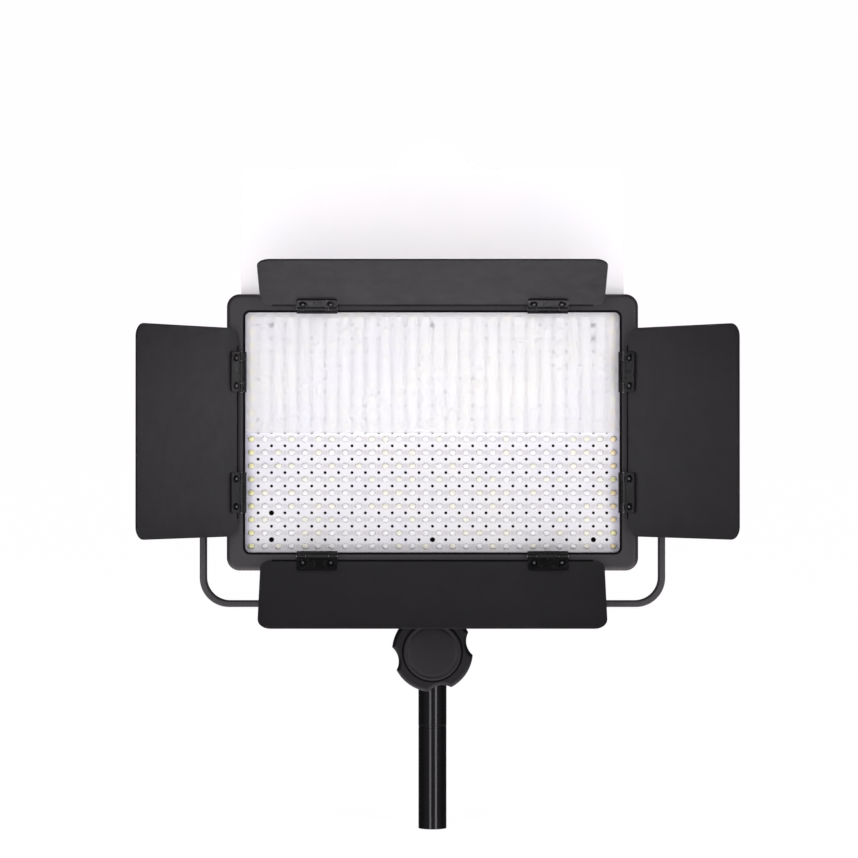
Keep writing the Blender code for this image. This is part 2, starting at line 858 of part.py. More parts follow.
def make_rocker():
    """A rocker switch, pressed at its lower end."""
    side = [
        (-0.0042, 0.0182),
        (0.0042, 0.0182),
        (0.0044, 0.0238),
        (0.0000, 0.0230),
        (-0.0044, 0.0238),
    ]
    pivot_y = 0.0205
    tilt = math.radians(-10)
    outline = []
    for z, y in side:
        away = y - pivot_y
        outline.append(
            (
                z * math.cos(tilt) - away * math.sin(tilt),
                z * math.sin(tilt) + away * math.cos(tilt),
            )
        )
    # Local X is down, local Y is towards the back and local Z along the rocker's axle.
    place = Matrix(((0, 0, 1, 0), (0, 1, 0, pivot_y), (-1, 0, 0, TILT_Z + ROCKER_Z), (0, 0, 0, 1)))
    rocker = plate("power_switch", outline, 0.015, place)
    paint([rocker], "black_plastic", BLACK, 0.35)
    return rocker


def make_inlet():
    """The low-voltage inlet: a flanged barrel, open towards the back."""
    flange_front = PANEL_BACK + GAP
    inlet = turned(
        "dc_socket",
        [
            (0, 0.0142),
            (0.0033, 0.0142),
            (0.0033, flange_front + 0.0014),
            (0.0066, flange_front + 0.0014),
            (0.0070, flange_front + 0.0010),
            (0.0070, flange_front),
            (0.0052, flange_front),
            (0.0052, 0.0125),
            (0, 0.0125),
        ],
        in_head(INLET[0], 0, INLET[1], "+Y"),
        24,
    )
    paint([inlet], "black_plastic", BLACK, 0.4)
    return inlet


def make_battery_plate(side, suffix):
    """A battery mount with grooves, a contact block and the sliding latch in its recess."""
    front = HOUSING_BACK + GAP
    thickness = 0.006
    back = front + thickness
    x = side * BATTERY_X
    mount = plate(
        f"battery_plate_{suffix}",
        centred(0.042, 0.072, 0.003, 4),
        thickness,
        in_head(x, front + thickness / 2, 0),
    )
    round_rims(mount, 0.0008, 2, height=-thickness / 2)
    cutters = []
    for edge in (-1, 1):
        for level in (-0.004, 0.024):
            cutters.append(
                block(
                    f"groove_{suffix}_{edge}_{level}",
                    (0.004, 0.014, 0.003),
                    in_head(x + edge * 0.0175, back, level),
                )
            )
    latch_recess = block(
        f"latch_recess_{suffix}",
        (0.0136, 0.0106, 0.008),
        in_head(x, back - 0.0040 + 0.004, LATCH_Z),
    )
    cutters.append(latch_recess)
    for index in (-1, 0, 1):
        cutters.append(
            block(
                f"contact_slot_{suffix}_{index}",
                (0.0014, 0.012, 0.004),
                in_head(x + index * 0.005, back, 0.010),
            )
        )
    cut(mount, *cutters)
    latch_back = back + 0.0014
    latch_front = back - 0.0040 + GAP
    latch = plate(
        f"battery_latch_{suffix}",
        centred(0.013, 0.0074, 0.0008, 3),
        latch_back - latch_front,
        in_head(x, (latch_back + latch_front) / 2, LATCH_Z + 0.0013),
    )
    round_rims(latch, 0.0005, 2, height=-(latch_back - latch_front) / 2)
    paint([mount], "black_plastic", BLACK, 0.5)
    paint([latch], "grey_plastic", (0.10, 0.10, 0.11), 0.5)
    return mount, latch


# ---------------------------------------------------------------- barn doors


def hinge_frame(outward, rise, offset, angle):
    """The place of a hinge axis: local X along the door, Y along the axis, Z out of its inner face."""
    forward = Vector((0, -1, 0))
    along = math.cos(angle) * outward + math.sin(angle) * forward
    normal = math.cos(angle) * forward - math.sin(angle) * outward
    axis = normal.cross(along)
    place = Matrix((along, axis, normal)).transposed().to_4x4()
    place.translation = Vector((0, FRONT_FACE - rise, TILT_Z)) + outward * offset
    return place


def make_door(name, place, reach, length, hinge_corner):
    """A flat sheet behind its hinge leaves."""
    outline = rounded(
        DOOR_START,
        reach,
        -length / 2,
        length / 2,
        (hinge_corner, DOOR_CORNER, DOOR_CORNER, hinge_corner),
        6,
    )
    level = -LEAF_THICKNESS / 2 - GAP - DOOR_THICKNESS / 2
    door = plate(name, outline, DOOR_THICKNESS, place @ at(0, 0, level))
    paint([door], "black_sheet", BLACK, 0.45, 0.3)
    return door


def make_leaf(name, place):
    """The door's half of a hinge: a plate with two rivets, and the middle knuckle."""
    tongue = HINGE_LENGTH / 2 - KNUCKLE_LENGTH - GAP
    clear = KNUCKLE_RADIUS + 0.0006
    half = HINGE_LENGTH / 2
    leaf = plate(
        name,
        rounded(clear, LEAF_REACH, -half, half, (0.0003, 0.0025, 0.0025, 0.0003), 2),
        LEAF_THICKNESS,
        place,
    )
    bridge = block(f"{name}_bridge", (0.004, 2 * tongue, LEAF_THICKNESS), place @ at(0.002, 0, 0))
    knuckle = cylinder(f"{name}_knuckle", KNUCKLE_RADIUS, 2 * tongue, place @ facing("+Y"), 14)
    rivets = [
        cylinder(f"{name}_rivet_{end}", 0.0028, 0.0016, place @ at(0.0085, end * 0.0113, 0.0009), 12)
        for end in (-1, 1)
    ]
    pin_hole = cylinder(f"{name}_bore", PIN_RADIUS + GAP, 0.04, place @ facing("+Y"), 10)
    join(leaf, bridge, knuckle, *rivets)
    cut(leaf, pin_hole)
    paint([leaf], "black_steel", DARK, 0.35, 0.6)
    return leaf


def make_base(name, place, rise):
    """The frame's half of a hinge: a foot on the bezel and the two end knuckles."""
    foot_bottom = GAP - rise
    foot_top = -0.0009
    half = HINGE_LENGTH / 2
    bar_end = -KNUCKLE_RADIUS - 0.00035
    base = span(name, (-0.0040, -half, foot_bottom), (bar_end, half, foot_top), place)
    for end in (-1, 1):
        inner = end * (half - KNUCKLE_LENGTH)
        outer = end * (half - 0.0001)
        low, high = min(inner, outer), max(inner, outer)
        web = span(f"{name}_web_{end}", (-0.0030, low, foot_bottom + 0.0001), (0.0017, high, -0.0012), place)
        middle = (low + high) / 2
        knuckle = cylinder(
            f"{name}_knuckle_{end}",
            KNUCKLE_RADIUS,
            high - low,
            place @ at(0, middle, 0) @ facing("+Y"),
            14,
        )
        join(base, web, knuckle)
    pin_hole = cylinder(f"{name}_bore", PIN_RADIUS + GAP, 0.04, place @ facing("+Y"), 10)
    cut(base, pin_hole)
    paint([base], "black_steel", DARK, 0.35, 0.6)
    return base


def make_pin(name, place):
    pin = cylinder(name, PIN_RADIUS, HINGE_LENGTH + 0.0006, place @ facing("+Y"), 10)
    paint([pin], "steel_pin", STEEL, 0.3, 0.9)
    return pin


def make_barn_doors(head):
    """Four doors. The side doors close first and the top and bottom doors close over them."""
    side = {
        "offset": WINDOW_WIDTH / 2 + HINGE_OUTSIDE_WINDOW,
        "rise": SIDE_HINGE_RISE,
        "reach": SIDE_DOOR_REACH,
        "length": SIDE_DOOR_LENGTH,
        "hinge_corner": SIDE_DOOR_HINGE_CORNER,
        "hinge_at": SIDE_HINGE_AT,
    }
    cross = {
        "offset": WINDOW_HEIGHT / 2 + HINGE_OUTSIDE_WINDOW,
        "rise": CROSS_HINGE_RISE,
        "reach": CROSS_DOOR_REACH,
        "length": CROSS_DOOR_LENGTH,
        "hinge_corner": CROSS_DOOR_HINGE_CORNER,
        "hinge_at": CROSS_HINGE_AT,
    }
    doors = {
        "left": (Vector((-1, 0, 0)), side),
        "right": (Vector((1, 0, 0)), side),
        "top": (Vector((0, 0, 1)), cross),
        "bottom": (Vector((0, 0, -1)), cross),
    }
    for name, (outward, size) in doors.items():
        angle = math.radians(DOOR_ANGLES[name])
        rise = size["rise"]
        place = hinge_frame(outward, rise, size["offset"], angle)
        flat = hinge_frame(outward, rise, size["offset"], 0)
        swing = pivot(f"pivot_door_{name}", place, head)
        door = make_door(f"door_{name}", place, size["reach"], size["length"], size["hinge_corner"])
        attach(swing, door)
        for number, end in enumerate((-1, 1), start=1):
            shift = at(0, end * size["hinge_at"], 0)
            attach(swing, make_leaf(f"hinge_leaf_{name}_{number}", place @ shift))
            attach(
                head,
                make_base(f"hinge_base_{name}_{number}", flat @ shift, rise),
                make_pin(f"hinge_pin_{name}_{number}", flat @ shift),
            )


# ---------------------------------------------------------------- assembly


def main():
    make_riser()
    yoke_turn = pivot("pivot_yoke", at(0, 0, TUBE_TOP))
    attach(yoke_turn, make_yoke(), make_socket(), make_socket_bolt())
    clamp_turn = pivot("pivot_clamp", at(0, 0, CLAMP_Z) @ facing("-Y"), yoke_turn)
    attach(clamp_turn, *make_clamp())

    head = pivot("pivot_head", at(0, 0, TILT_Z), yoke_turn)
    for side, suffix in ((-1, "left"), (1, "right")):
        direction = "+X" if side > 0 else "-X"
        lock_turn = pivot(f"pivot_tilt_lock_{suffix}", in_head(0, 0, 0, direction), head)
        attach(lock_turn, *make_tilt_lock(side, suffix))
        attach(head, *make_battery_plate(side, suffix))
    attach(head, make_front_frame(), make_rear_housing(), *make_light_engine(), make_diffuser())
    attach(head, *make_control_panel(), make_inlet(), make_rocker())
    for name, x in DIALS.items():
        attach(head, make_dial(name, x))
    for name, x in BUTTONS.items():
        attach(head, make_button(name, x))
    make_barn_doors(head)


clear_scene()
PARTS = new_collection("led_panel_light")
CUTTERS = new_collection("cutters")
CUTTERS.hide_render = True
main()
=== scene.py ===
"""The looks of an LED panel light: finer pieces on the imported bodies, materials, studio light and camera.

Metres, +Z up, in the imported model's own frame. The light faces -Y and its head is centred on the tilt axis.
"""

import math
import random

import bmesh
import bpy
from mathutils import Matrix, Vector


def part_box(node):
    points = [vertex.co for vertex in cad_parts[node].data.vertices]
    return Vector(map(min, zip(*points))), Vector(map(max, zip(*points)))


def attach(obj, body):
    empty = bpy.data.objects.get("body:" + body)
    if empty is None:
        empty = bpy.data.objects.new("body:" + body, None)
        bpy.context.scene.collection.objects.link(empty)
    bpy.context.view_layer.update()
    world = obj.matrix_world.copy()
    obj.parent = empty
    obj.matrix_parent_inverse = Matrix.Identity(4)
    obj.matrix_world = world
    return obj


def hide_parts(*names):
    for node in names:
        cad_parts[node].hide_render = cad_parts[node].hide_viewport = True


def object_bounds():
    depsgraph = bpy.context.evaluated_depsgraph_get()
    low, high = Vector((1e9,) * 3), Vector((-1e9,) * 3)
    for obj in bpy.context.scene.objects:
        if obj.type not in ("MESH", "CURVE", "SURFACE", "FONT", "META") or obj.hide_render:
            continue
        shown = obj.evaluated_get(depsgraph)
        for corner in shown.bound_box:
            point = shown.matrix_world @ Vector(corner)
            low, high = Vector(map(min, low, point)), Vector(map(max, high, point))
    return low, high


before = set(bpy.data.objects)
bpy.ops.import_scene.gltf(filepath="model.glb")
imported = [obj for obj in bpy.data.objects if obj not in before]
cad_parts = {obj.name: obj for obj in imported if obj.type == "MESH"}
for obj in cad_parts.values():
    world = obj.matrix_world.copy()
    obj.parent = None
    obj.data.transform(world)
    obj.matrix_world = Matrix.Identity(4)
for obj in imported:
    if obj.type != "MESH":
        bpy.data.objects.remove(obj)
CAD_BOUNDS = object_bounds()

# Places that the frame gives
FRAME_LOW, FRAME_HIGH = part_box("front_frame")
HEAD_Z = (FRAME_LOW.z + FRAME_HIGH.z) / 2
HEAD_WIDTH = FRAME_HIGH.x - FRAME_LOW.x
HEAD_HEIGHT = FRAME_HIGH.z - FRAME_LOW.z
FRONT = -FRAME_LOW.y  # distances in front of the tilt axis are positive here
FRAME_BACK = -FRAME_HIGH.y
BOARD_FRONT = -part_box("led_board")[0].y
LENS_TIP = -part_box("led_array")[0].y
DIFFUSER_LOW, DIFFUSER_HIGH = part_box("diffuser")
KNOB_LOW, KNOB_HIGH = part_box("clamp_knob")
CLAMP_Z = (KNOB_LOW.z + KNOB_HIGH.z) / 2
SOCKET_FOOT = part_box("stand_socket")[0].z
SOCKET_RADIUS = 0.0115
SLEEVE_LENGTH = 0.0400
CAP_FRONT = -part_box("clamp_knob_cap")[0].y
YOKE_LOW, YOKE_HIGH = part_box("yoke_bar")
PANEL_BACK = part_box("control_panel")[1].y
HOUSING_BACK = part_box("rear_housing")[1].y

# Window, board and LEDs
HEAD_CORNER = 0.0105
WINDOW_WIDTH = 0.305
WINDOW_HEIGHT = 0.1955
WINDOW_CORNER = 0.004
GASKET = 0.0014
LED_COLUMNS = 28
LED_ROWS = 18
LED_PITCH = 0.01095
LED_RADIUS = 0.0028
PHOSPHORS = {
    "pale": (0.94, 0.955, 0.94),
    "cream": (0.925, 0.94, 0.82),
    "green": (0.86, 0.87, 0.52),
    "amber": (0.90, 0.80, 0.52),
}
LED_SQUEEZE = 0.82  # height of an LED and its opening to their width
HOLE_RADIUS = 0.00125
SCREW_RADIUS = 0.0019
COVER_FRONT = 0.0190
COVER_BACK = 0.0182
SCREW_CELLS = {(1, 16), (13, 16), (25, 16), (25, 15), (1, 2), (1, 0), (13, 0), (25, 0)}  # column, row

# Barn doors: hinge axis outside the window's edge and in front of the bezel, angle from lying flat and open
HINGE_OUTSIDE_WINDOW = 0.0027
DOOR_START = 0.0035
DOOR_THICKNESS = 0.0015
DOOR_CORNER = 0.0105  # at the free edge
LEAF_THICKNESS = 0.0009
LEAF_REACH = 0.015
HINGE_LENGTH = 0.033
KNUCKLE_RADIUS = 0.002
KNUCKLE_LENGTH = 0.0071
PIN_RADIUS = 0.0008
GAP = 0.0003
SIDE_DOOR = {"rise": 0.0030, "reach": 0.146, "length": 0.169, "hinge_corner": 0.014, "hinge_at": 0.049}
CROSS_DOOR = {"rise": 0.0052, "reach": 0.079, "length": 0.279, "hinge_corner": 0.009, "hinge_at": 0.0937}
DOORS = {
    "left": (Vector((-1, 0, 0)), 59.7, SIDE_DOOR),
    "right": (Vector((1, 0, 0)), 55.7, SIDE_DOOR),
    "top": (Vector((0, 0, 1)), 64, CROSS_DOOR),
    "bottom": (Vector((0, 0, -1)), 46, CROSS_DOOR),
}

# Back panel
DISPLAY = (-0.014, -0.013)
DIALS = {"dial_brightness": -0.030, "dial_colour": 0.030}
DIAL_Z = -0.044
DIAL_RADIUS = 0.010
DIAL_HEIGHT = 0.012
BATTERY_X = 0.080
SIDES = {"left": -1, "right": 1}

# Studio: how bright the room looks in reflections. Each part rises from start to end along one of X, Y, Z.
STUDIO_TINT = (1.0, 0.955, 1.0, 1.0)
ROOM_LEAST = 0.08
ROOM_LIGHT = [("Y", 0.2, -0.9, 0.3), ("Z", -0.1, -0.8, 2.4), ("Z", 0.2, 1.0, 0.12)]

CHANCE = random.Random(7)


# ---------------------------------------------------------------- outlines and places


def at(x, y, z):
    return Matrix.Translation((x, y, z))


def facing(direction):
    """Turns local +Z to one of the six directions. Towards -Y, local Y is up."""
    turns = {
        "+Z": Matrix.Identity(4),
        "-Y": Matrix.Rotation(math.pi / 2, 4, "X"),
        "+Y": Matrix.Rotation(-math.pi / 2, 4, "X"),
        "+X": Matrix.Rotation(math.pi / 2, 4, "Y"),
        "-X": Matrix.Rotation(-math.pi / 2, 4, "Y"),
    }
    return turns[direction]


def in_head(x, y, z, direction="-Y"):
    """A place measured from the head's centre."""
    return at(x, y, HEAD_Z + z) @ facing(direction)


def arc(centre, radius, start, end, steps):
    """Points along an arc, angles in degrees, both ends included."""
    points = []
    for step in range(steps + 1):
        angle = math.radians(start + (end - start) * step / steps)
        points.append((centre[0] + radius * math.cos(angle), centre[1] + radius * math.sin(angle)))
    return points


def rounded(left, right, bottom, top, radii, steps=10):
    """A rectangle with its own radius at each of bottom left, bottom right, top right, top left."""
    corners = [(left, bottom, 1, 1), (right, bottom, -1, 1), (right, top, -1, -1), (left, top, 1, -1)]
    points = []
    for index, ((x, y, to_x, to_y), radius) in enumerate(zip(corners, radii)):
        start = 180 + 90 * index
        points += arc((x + to_x * radius, y + to_y * radius), radius, start, start + 90, steps)
    return points


def centred(width, height, radius, steps=10):
    return rounded(-width / 2, width / 2, -height / 2, height / 2, [radius] * 4, steps)


def notched(radius, notches, chord, depth, first, steps):
    """A circle with round notches of the given chord and depth. first is the first notch's angle."""
    half = math.asin(chord / 2 / radius)
    floor = radius - depth
    rim_x = radius * math.cos(half)
    away = (rim_x**2 + (chord / 2) ** 2 - floor**2) / (2 * (rim_x - floor))
    bite = away - floor
    sweep = math.atan2(chord / 2, away - rim_x)
    points = []
    for index in range(notches):
        middle = math.radians(first) + 2 * math.pi * index / notches
        for step in range(-steps, steps + 1):
            angle = sweep * step / steps
            spot = Vector((away - bite * math.cos(angle), bite * math.sin(angle)))
            spot.rotate(Matrix.Rotation(middle, 2))
            points.append(tuple(spot))
        next_notch = middle + 2 * math.pi / notches - half
        points += arc((0, 0), radius, math.degrees(middle + half), math.degrees(next_notch), 2 * steps)[1:-1]
    return points


def soften(points, radius, closed=False, steps=3):
    """Rounds the corners of a profile, using at most a third of each side."""
    count = len(points)
    smooth = []
    for index, point in enumerate(points):
        if not closed and index in (0, count - 1):
            smooth.append(tuple(point))
            continue
        corner = Vector(point)
        to_before = Vector(points[index - 1]) - corner
        to_after = Vector(points[(index + 1) % count]) - corner
        cut = min(radius, to_before.length / 3, to_after.length / 3)
        start = corner + to_before.normalized() * cut
        end = corner + to_after.normalized() * cut
        for step in range(steps + 1):
            share = step / steps
            bent = start * (1 - share) ** 2 + corner * 2 * share * (1 - share) + end * share**2
            smooth.append(tuple(bent))
    return smooth


def inset(outline, distance):
    """Moves every side of an anticlockwise outline inwards."""
    moved = []
    for index, point in enumerate(outline):
        here = Vector(point)
        before = (here - Vector(outline[index - 1])).normalized()
        after = (Vector(outline[(index + 1) % len(outline)]) - here).normalized()
        inward = Vector((-before.y - after.y, before.x + after.x)).normalized()
        share = max(inward.dot(Vector((-before.y, before.x))), 0.3)
        moved.append(here + inward * distance / share)
    return moved


def rims(low, high, low_rim, high_rim, steps=4):
    """(inset, height) pairs up the side of a plate whose rims are rounded."""
    levels = []
    for step in range(steps + 1):
        angle = math.pi / 2 * step / steps
        levels.append((low_rim * (1 - math.sin(angle)), low + low_rim * (1 - math.cos(angle))))
    for step in range(steps + 1):
        angle = math.pi / 2 * (1 - step / steps)
        levels.append((high_rim * (1 - math.sin(angle)), high - high_rim * (1 - math.cos(angle))))
    return list(dict.fromkeys(levels))


# ---------------------------------------------------------------- meshes


def add_loft(shape, rings, material=0):
    """Joins rings of equal count into one closed skin with flat ends."""
    levels = [[shape.verts.new(point) for point in ring] for ring in rings]
    count = len(rings[0])
    faces = [shape.faces.new(reversed(levels[0])), shape.faces.new(levels[-1])]
    for lower, upper in zip(levels, levels[1:]):
        for index in range(count):
            after = (index + 1) % count
            faces.append(shape.faces.new((lower[index], lower[after], upper[after], upper[index])))
    for face in faces:
        face.material_index = material


def add_prism(shape, outline, levels, place, material=0):
    """The outline, in local X and Y, carried up local Z through (inset, height) pairs."""
    rings = []
    for distance, height in levels:
        rings.append([place @ Vector((x, y, height)) for x, y in inset(outline, distance)])
    add_loft(shape, rings, material)


def add_grip(shape, outline, levels, place):
    """Carries a grip's outline up local Z. levels are (inset, largest radius, height), measured radially."""
    rings = []
    for distance, largest, height in levels:
        ring = []
        for point in outline:
            reach = Vector(point)
            flat = reach.normalized() * min(reach.length - distance, largest)
            ring.append(place @ Vector((flat.x, flat.y, height)))
        rings.append(ring)
    add_loft(shape, rings)


def prism(outline, levels, place):
    """A new shape with one prism in it."""
    shape = bmesh.new()
    add_prism(shape, outline, levels, place)
    return shape


def rod(radius, low, high):
    """The profile of a plain cylinder."""
    return [(0, high), (radius, high), (radius, low), (0, low)]


def turned(profile, place, sides=64):
    """A new shape with one profile turned in it."""
    shape = bmesh.new()
    add_turned(shape, profile, place, sides)
    return shape


def add_turned(shape, profile, place, sides=64, material=0):
    """Turns a profile of (radius, height) about local Z. It runs from axis to axis, or closes on itself."""
    rings = []
    closed = tuple(profile[0]) == tuple(profile[-1])
    for radius, height in profile[:-1] if closed else profile:
        ring = []
        for index in range(1 if radius < 1e-9 else sides):
            angle = 2 * math.pi * index / sides
            spot = Vector((radius * math.cos(angle), radius * math.sin(angle), height))
            ring.append(shape.verts.new(place @ spot))
        rings.append(ring)
    if closed:
        rings.append(rings[0])
    for first, second in zip(rings, rings[1:]):
        for index in range(sides):
            after = index + 1
            corners = [first[index % len(first)], first[after % len(first)]]
            corners += [second[after % len(second)], second[index % len(second)]]
            shape.faces.new(dict.fromkeys(corners)).material_index = material


def add_box(shape, low, high, place, rim=0.0002, material=0):
    """A box from its lowest to its highest corner in the place's own directions, with rounded edges."""
    outline = rounded(low[0], high[0], low[1], high[1], [rim * 1.2] * 4, 2)
    add_prism(shape, outline, rims(low[2], high[2], rim, rim, 2), place, material)


def new_object(name, shape, materials, sharp=38):
    bmesh.ops.recalc_face_normals(shape, faces=shape.faces)
    mesh = bpy.data.meshes.new(name)
    shape.to_mesh(mesh)
    shape.free()
    for material in materials:
        mesh.materials.append(material)
    item = bpy.data.objects.new(name, mesh)
    bpy.context.scene.collection.objects.link(item)
    shade(item, sharp)
    return item


def mark_sides(shape, normal, material=1):
    """Gives the faces round a plate's edges their own material."""
    bmesh.ops.recalc_face_normals(shape, faces=shape.faces)
    for face in shape.faces:
        if abs(face.normal.dot(normal)) < 0.9:
            face.material_index = material


def shade(item, sharp=38):
    item.data.shade_smooth()
    item.data.set_sharp_from_angle(angle=math.radians(sharp))


def combine(item, shapes, operation="DIFFERENCE"):
    """Cuts shapes from an object, or joins them to it, and keeps the result as its mesh."""
    helpers = []
    for number, shape in enumerate(shapes):
        helper = new_object(f"{item.name}_helper_{number}", shape, list(item.data.materials))
        helpers.append(helper)
        modifier = item.modifiers.new(helper.name, "BOOLEAN")
        modifier.operation = operation
        modifier.solver = "EXACT"
        modifier.object = helper
    graph = bpy.context.evaluated_depsgraph_get()
    made = bpy.data.meshes.new_from_object(item.evaluated_get(graph), depsgraph=graph)
    item.modifiers.clear()
    item.data = made
    for helper in helpers:
        bpy.data.objects.remove(helper, do_unlink=True)
    shade(item)


def finish(item, body, slot, *nodes):
    """Evens out the shading, ties the piece to its body and hides the CAD nodes it stands for."""
    weighted = item.modifiers.new("even_shading", "WEIGHTED_NORMAL")
    weighted.keep_sharp = True
    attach(item, body)
    if nodes:
        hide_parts(*nodes)
    return item


def piece(name, shape, materials, body, slot, *nodes):
    return finish(new_object(name, shape, materials), body, slot, *nodes)


def refine(node, look, edge):
    """Gives a CAD node its material and rounds its sharp edges."""
    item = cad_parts[node]
    for place in item.material_slots:
        place.material = look
    weld = item.modifiers.new("weld", "WELD")
    weld.merge_threshold = 2e-6
    flat = item.modifiers.new("flat_faces", "DECIMATE")
    flat.decimate_type = "DISSOLVE"
    flat.angle_limit = math.radians(0.5)
    bevel = item.modifiers.new("edges", "BEVEL")
    bevel.width = edge
    bevel.segments = 2
    bevel.limit_method = "ANGLE"
    bevel.angle_limit = math.radians(38)
    weighted = item.modifiers.new("even_shading", "WEIGHTED_NORMAL")
    weighted.keep_sharp = True


# ---------------------------------------------------------------- materials


def add_node(tree, kind, links=(), **settings):
    """links are (input, source) pairs, where a source is another node's output or a plain value."""
    node = tree.nodes.new(kind)
    for name, value in settings.items():
        setattr(node, name, value)
    for socket, source in links:
        if isinstance(source, bpy.types.NodeSocket):
            tree.links.new(source, node.inputs[socket])
        else:
            node.inputs[socket].default_value = source
    return node


class Look:
    """A Principled material in the making. Its patterns lie in the piece's own coordinates, in metres."""

    def __init__(self, name, colour, roughness, metallic=0.0, **constants):
        self.material = bpy.data.materials.new(name)
        self.material.use_nodes = True
        self.tree = self.material.node_tree
        self.shader = self.tree.nodes["Principled BSDF"]
        self.place = self.tree.nodes.new("ShaderNodeTexCoord").outputs["Object"]
        self.height = None
        self.shader.inputs["Base Color"].default_value = (*colour, 1)
        self.shader.inputs["Roughness"].default_value = roughness
        self.shader.inputs["Metallic"].default_value = metallic
        for socket, value in constants.items():
            self.shader.inputs[socket.replace("_", " ").title().replace("Ior", "IOR")].default_value = value

    def add(self, kind, links=(), **settings):
        return add_node(self.tree, kind, links, **settings)

    def noise(self, size, detail=3.0, stretch=(1, 1, 1)):
        """Cloudy noise whose blotches are about size across."""
        scale = [1 / size / share for share in stretch]
        place = self.add("ShaderNodeMapping", [("Vector", self.place), ("Scale", scale)])
        links = [("Vector", place.outputs[0]), ("Scale", 1.0), ("Detail", detail)]
        return self.add("ShaderNodeTexNoise", links).outputs["Fac"]

    def cells(self, size):
        """Rounded pebbles about size across."""
        links = [("Vector", self.place), ("Scale", 1 / size)]
        return self.add("ShaderNodeTexVoronoi", links, feature="SMOOTH_F1").outputs["Distance"]

    def spread(self, source, low, high, start=0.3, end=0.7):
        """Carries a value between start and end over to low and high."""
        limits = {"From Min": start, "From Max": end, "To Min": low, "To Max": high}
        return self.add("ShaderNodeMapRange", [("Value", source), *limits.items()]).outputs["Result"]

    def wave(self, source, crest):
        """Swings from -1 to 1 once in each pitch of the LEDs, with a crest at the given place."""
        away = self.add("ShaderNodeMath", [(0, source), (1, crest)], operation="SUBTRACT")
        rate = 2 * math.pi / LED_PITCH
        turns = self.add("ShaderNodeMath", [(0, away.outputs[0]), (1, rate)], operation="MULTIPLY")
        return self.add("ShaderNodeMath", [(0, turns.outputs[0])], operation="COSINE").outputs[0]

    def blend(self, factor, first, second):
        node = self.add("ShaderNodeMix", data_type="RGBA")
        for socket, source in zip((node.inputs[0], node.inputs[6], node.inputs[7]), (factor, first, second)):
            if isinstance(source, bpy.types.NodeSocket):
                self.tree.links.new(source, socket)
            else:
                socket.default_value = source if isinstance(source, float) else (*source, 1)
        return node.outputs[2]

    def set(self, socket, source):
        self.tree.links.new(source, self.shader.inputs[socket])

    def bump(self, source, depth, strength=1.0):
        """Relief of the given depth, on top of any relief before it."""
        links = [("Height", source), ("Distance", depth), ("Strength", strength)]
        if self.height:
            links.append(("Normal", self.height))
        self.height = self.add("ShaderNodeBump", links).outputs["Normal"]
        self.set("Normal", self.height)

    def worn(self, base, bright, amount):
        """Lightens outer edges, unevenly, as handling does."""
        sharpness = self.add("ShaderNodeNewGeometry").outputs["Pointiness"]
        edge = self.spread(sharpness, 0.0, amount, 0.53, 0.62)
        uneven = self.add("ShaderNodeMath", [(0, edge), (1, self.noise(0.004, 4.0))], operation="MULTIPLY")
        return self.blend(uneven.outputs[0], base, bright)


def shades(colour, amount):
    """A darker and a lighter version of a colour."""
    return [value * (1 - amount) for value in colour], [value * (1 + amount) for value in colour]


def coated(name, colour, roughness, grain, depth, mottle=0.12, metallic=0.0, wear=0.0, shine=0.5):
    """Paint or moulded plastic: faint blotches in colour, uneven gloss, and a fine grain in relief."""
    look = Look(name, colour, roughness, metallic, specular_ior_level=shine)
    darker, lighter = shades(colour, mottle)
    base = look.blend(look.spread(look.noise(0.035), 0.0, 1.0), darker, lighter)
    if wear:
        base = look.worn(base, [min(value * 3 + 0.03, 1) for value in colour], wear)
    look.set("Base Color", base)
    look.set("Roughness", look.spread(look.noise(0.012, 4.0), roughness - 0.04, roughness + 0.05))
    look.bump(look.noise(grain, 2.0), depth)
    return look


def plain(*recipe, **more):
    """A coating with nothing on top."""
    return coated(*recipe, **more).material


def brushed(name, colour, roughness, stretch):
    """Bare metal with fine lines along one direction."""
    look = Look(name, colour, roughness, 1.0)
    lines = look.noise(0.0006, 3.0, stretch)
    darker, lighter = shades(colour, 0.08)
    look.set("Base Color", look.blend(look.spread(look.noise(0.01), 0.0, 1.0), darker, lighter))
    look.set("Roughness", look.spread(lines, roughness - 0.08, roughness + 0.1))
    look.bump(lines, 0.00001)
    return look.material


def gloss_paint(name, roughness):
    """Black gloss on a tube, wavy along it so that its highlights waver."""
    look = coated(name, (0.002, 0.0018, 0.0022), roughness, 0.0012, 0.000001, shine=0.32)
    look.bump(look.noise(0.006, 1.0, (1, 1, 6)), 0.000012)
    return look.material


def knob_plastic():
    near_black = (0.0032, 0.0028, 0.0035)
    look = coated("knob_plastic", near_black, 0.48, 0.00035, 0.00002, 0.18, wear=0.06, shine=0.2)
    look.bump(look.cells(0.0008), 0.00001)
    return look.material


def cap_plastic():
    look = coated("cap_plastic", (0.007, 0.0064, 0.0076), 0.42, 0.0004, 0.00001, 0.15, shine=0.22)
    look.bump(look.noise(0.02, 1.0), 0.00006)
    return look.material


def housing_paint():
    look = coated("housing_paint", (0.024, 0.023, 0.025), 0.5, 0.0006, 0.00003, 0.12, shine=0.45)
    look.bump(look.cells(0.0011), 0.00002)
    return look.material


def door_sheet():
    near_black = (0.0085, 0.0076, 0.0088)
    look = coated("door_sheet", near_black, 0.46, 0.0004, 0.000014, 0.14, wear=0.05, shine=0.34)
    look.bump(look.noise(0.05, 1.0), 0.00004)
    return look.material


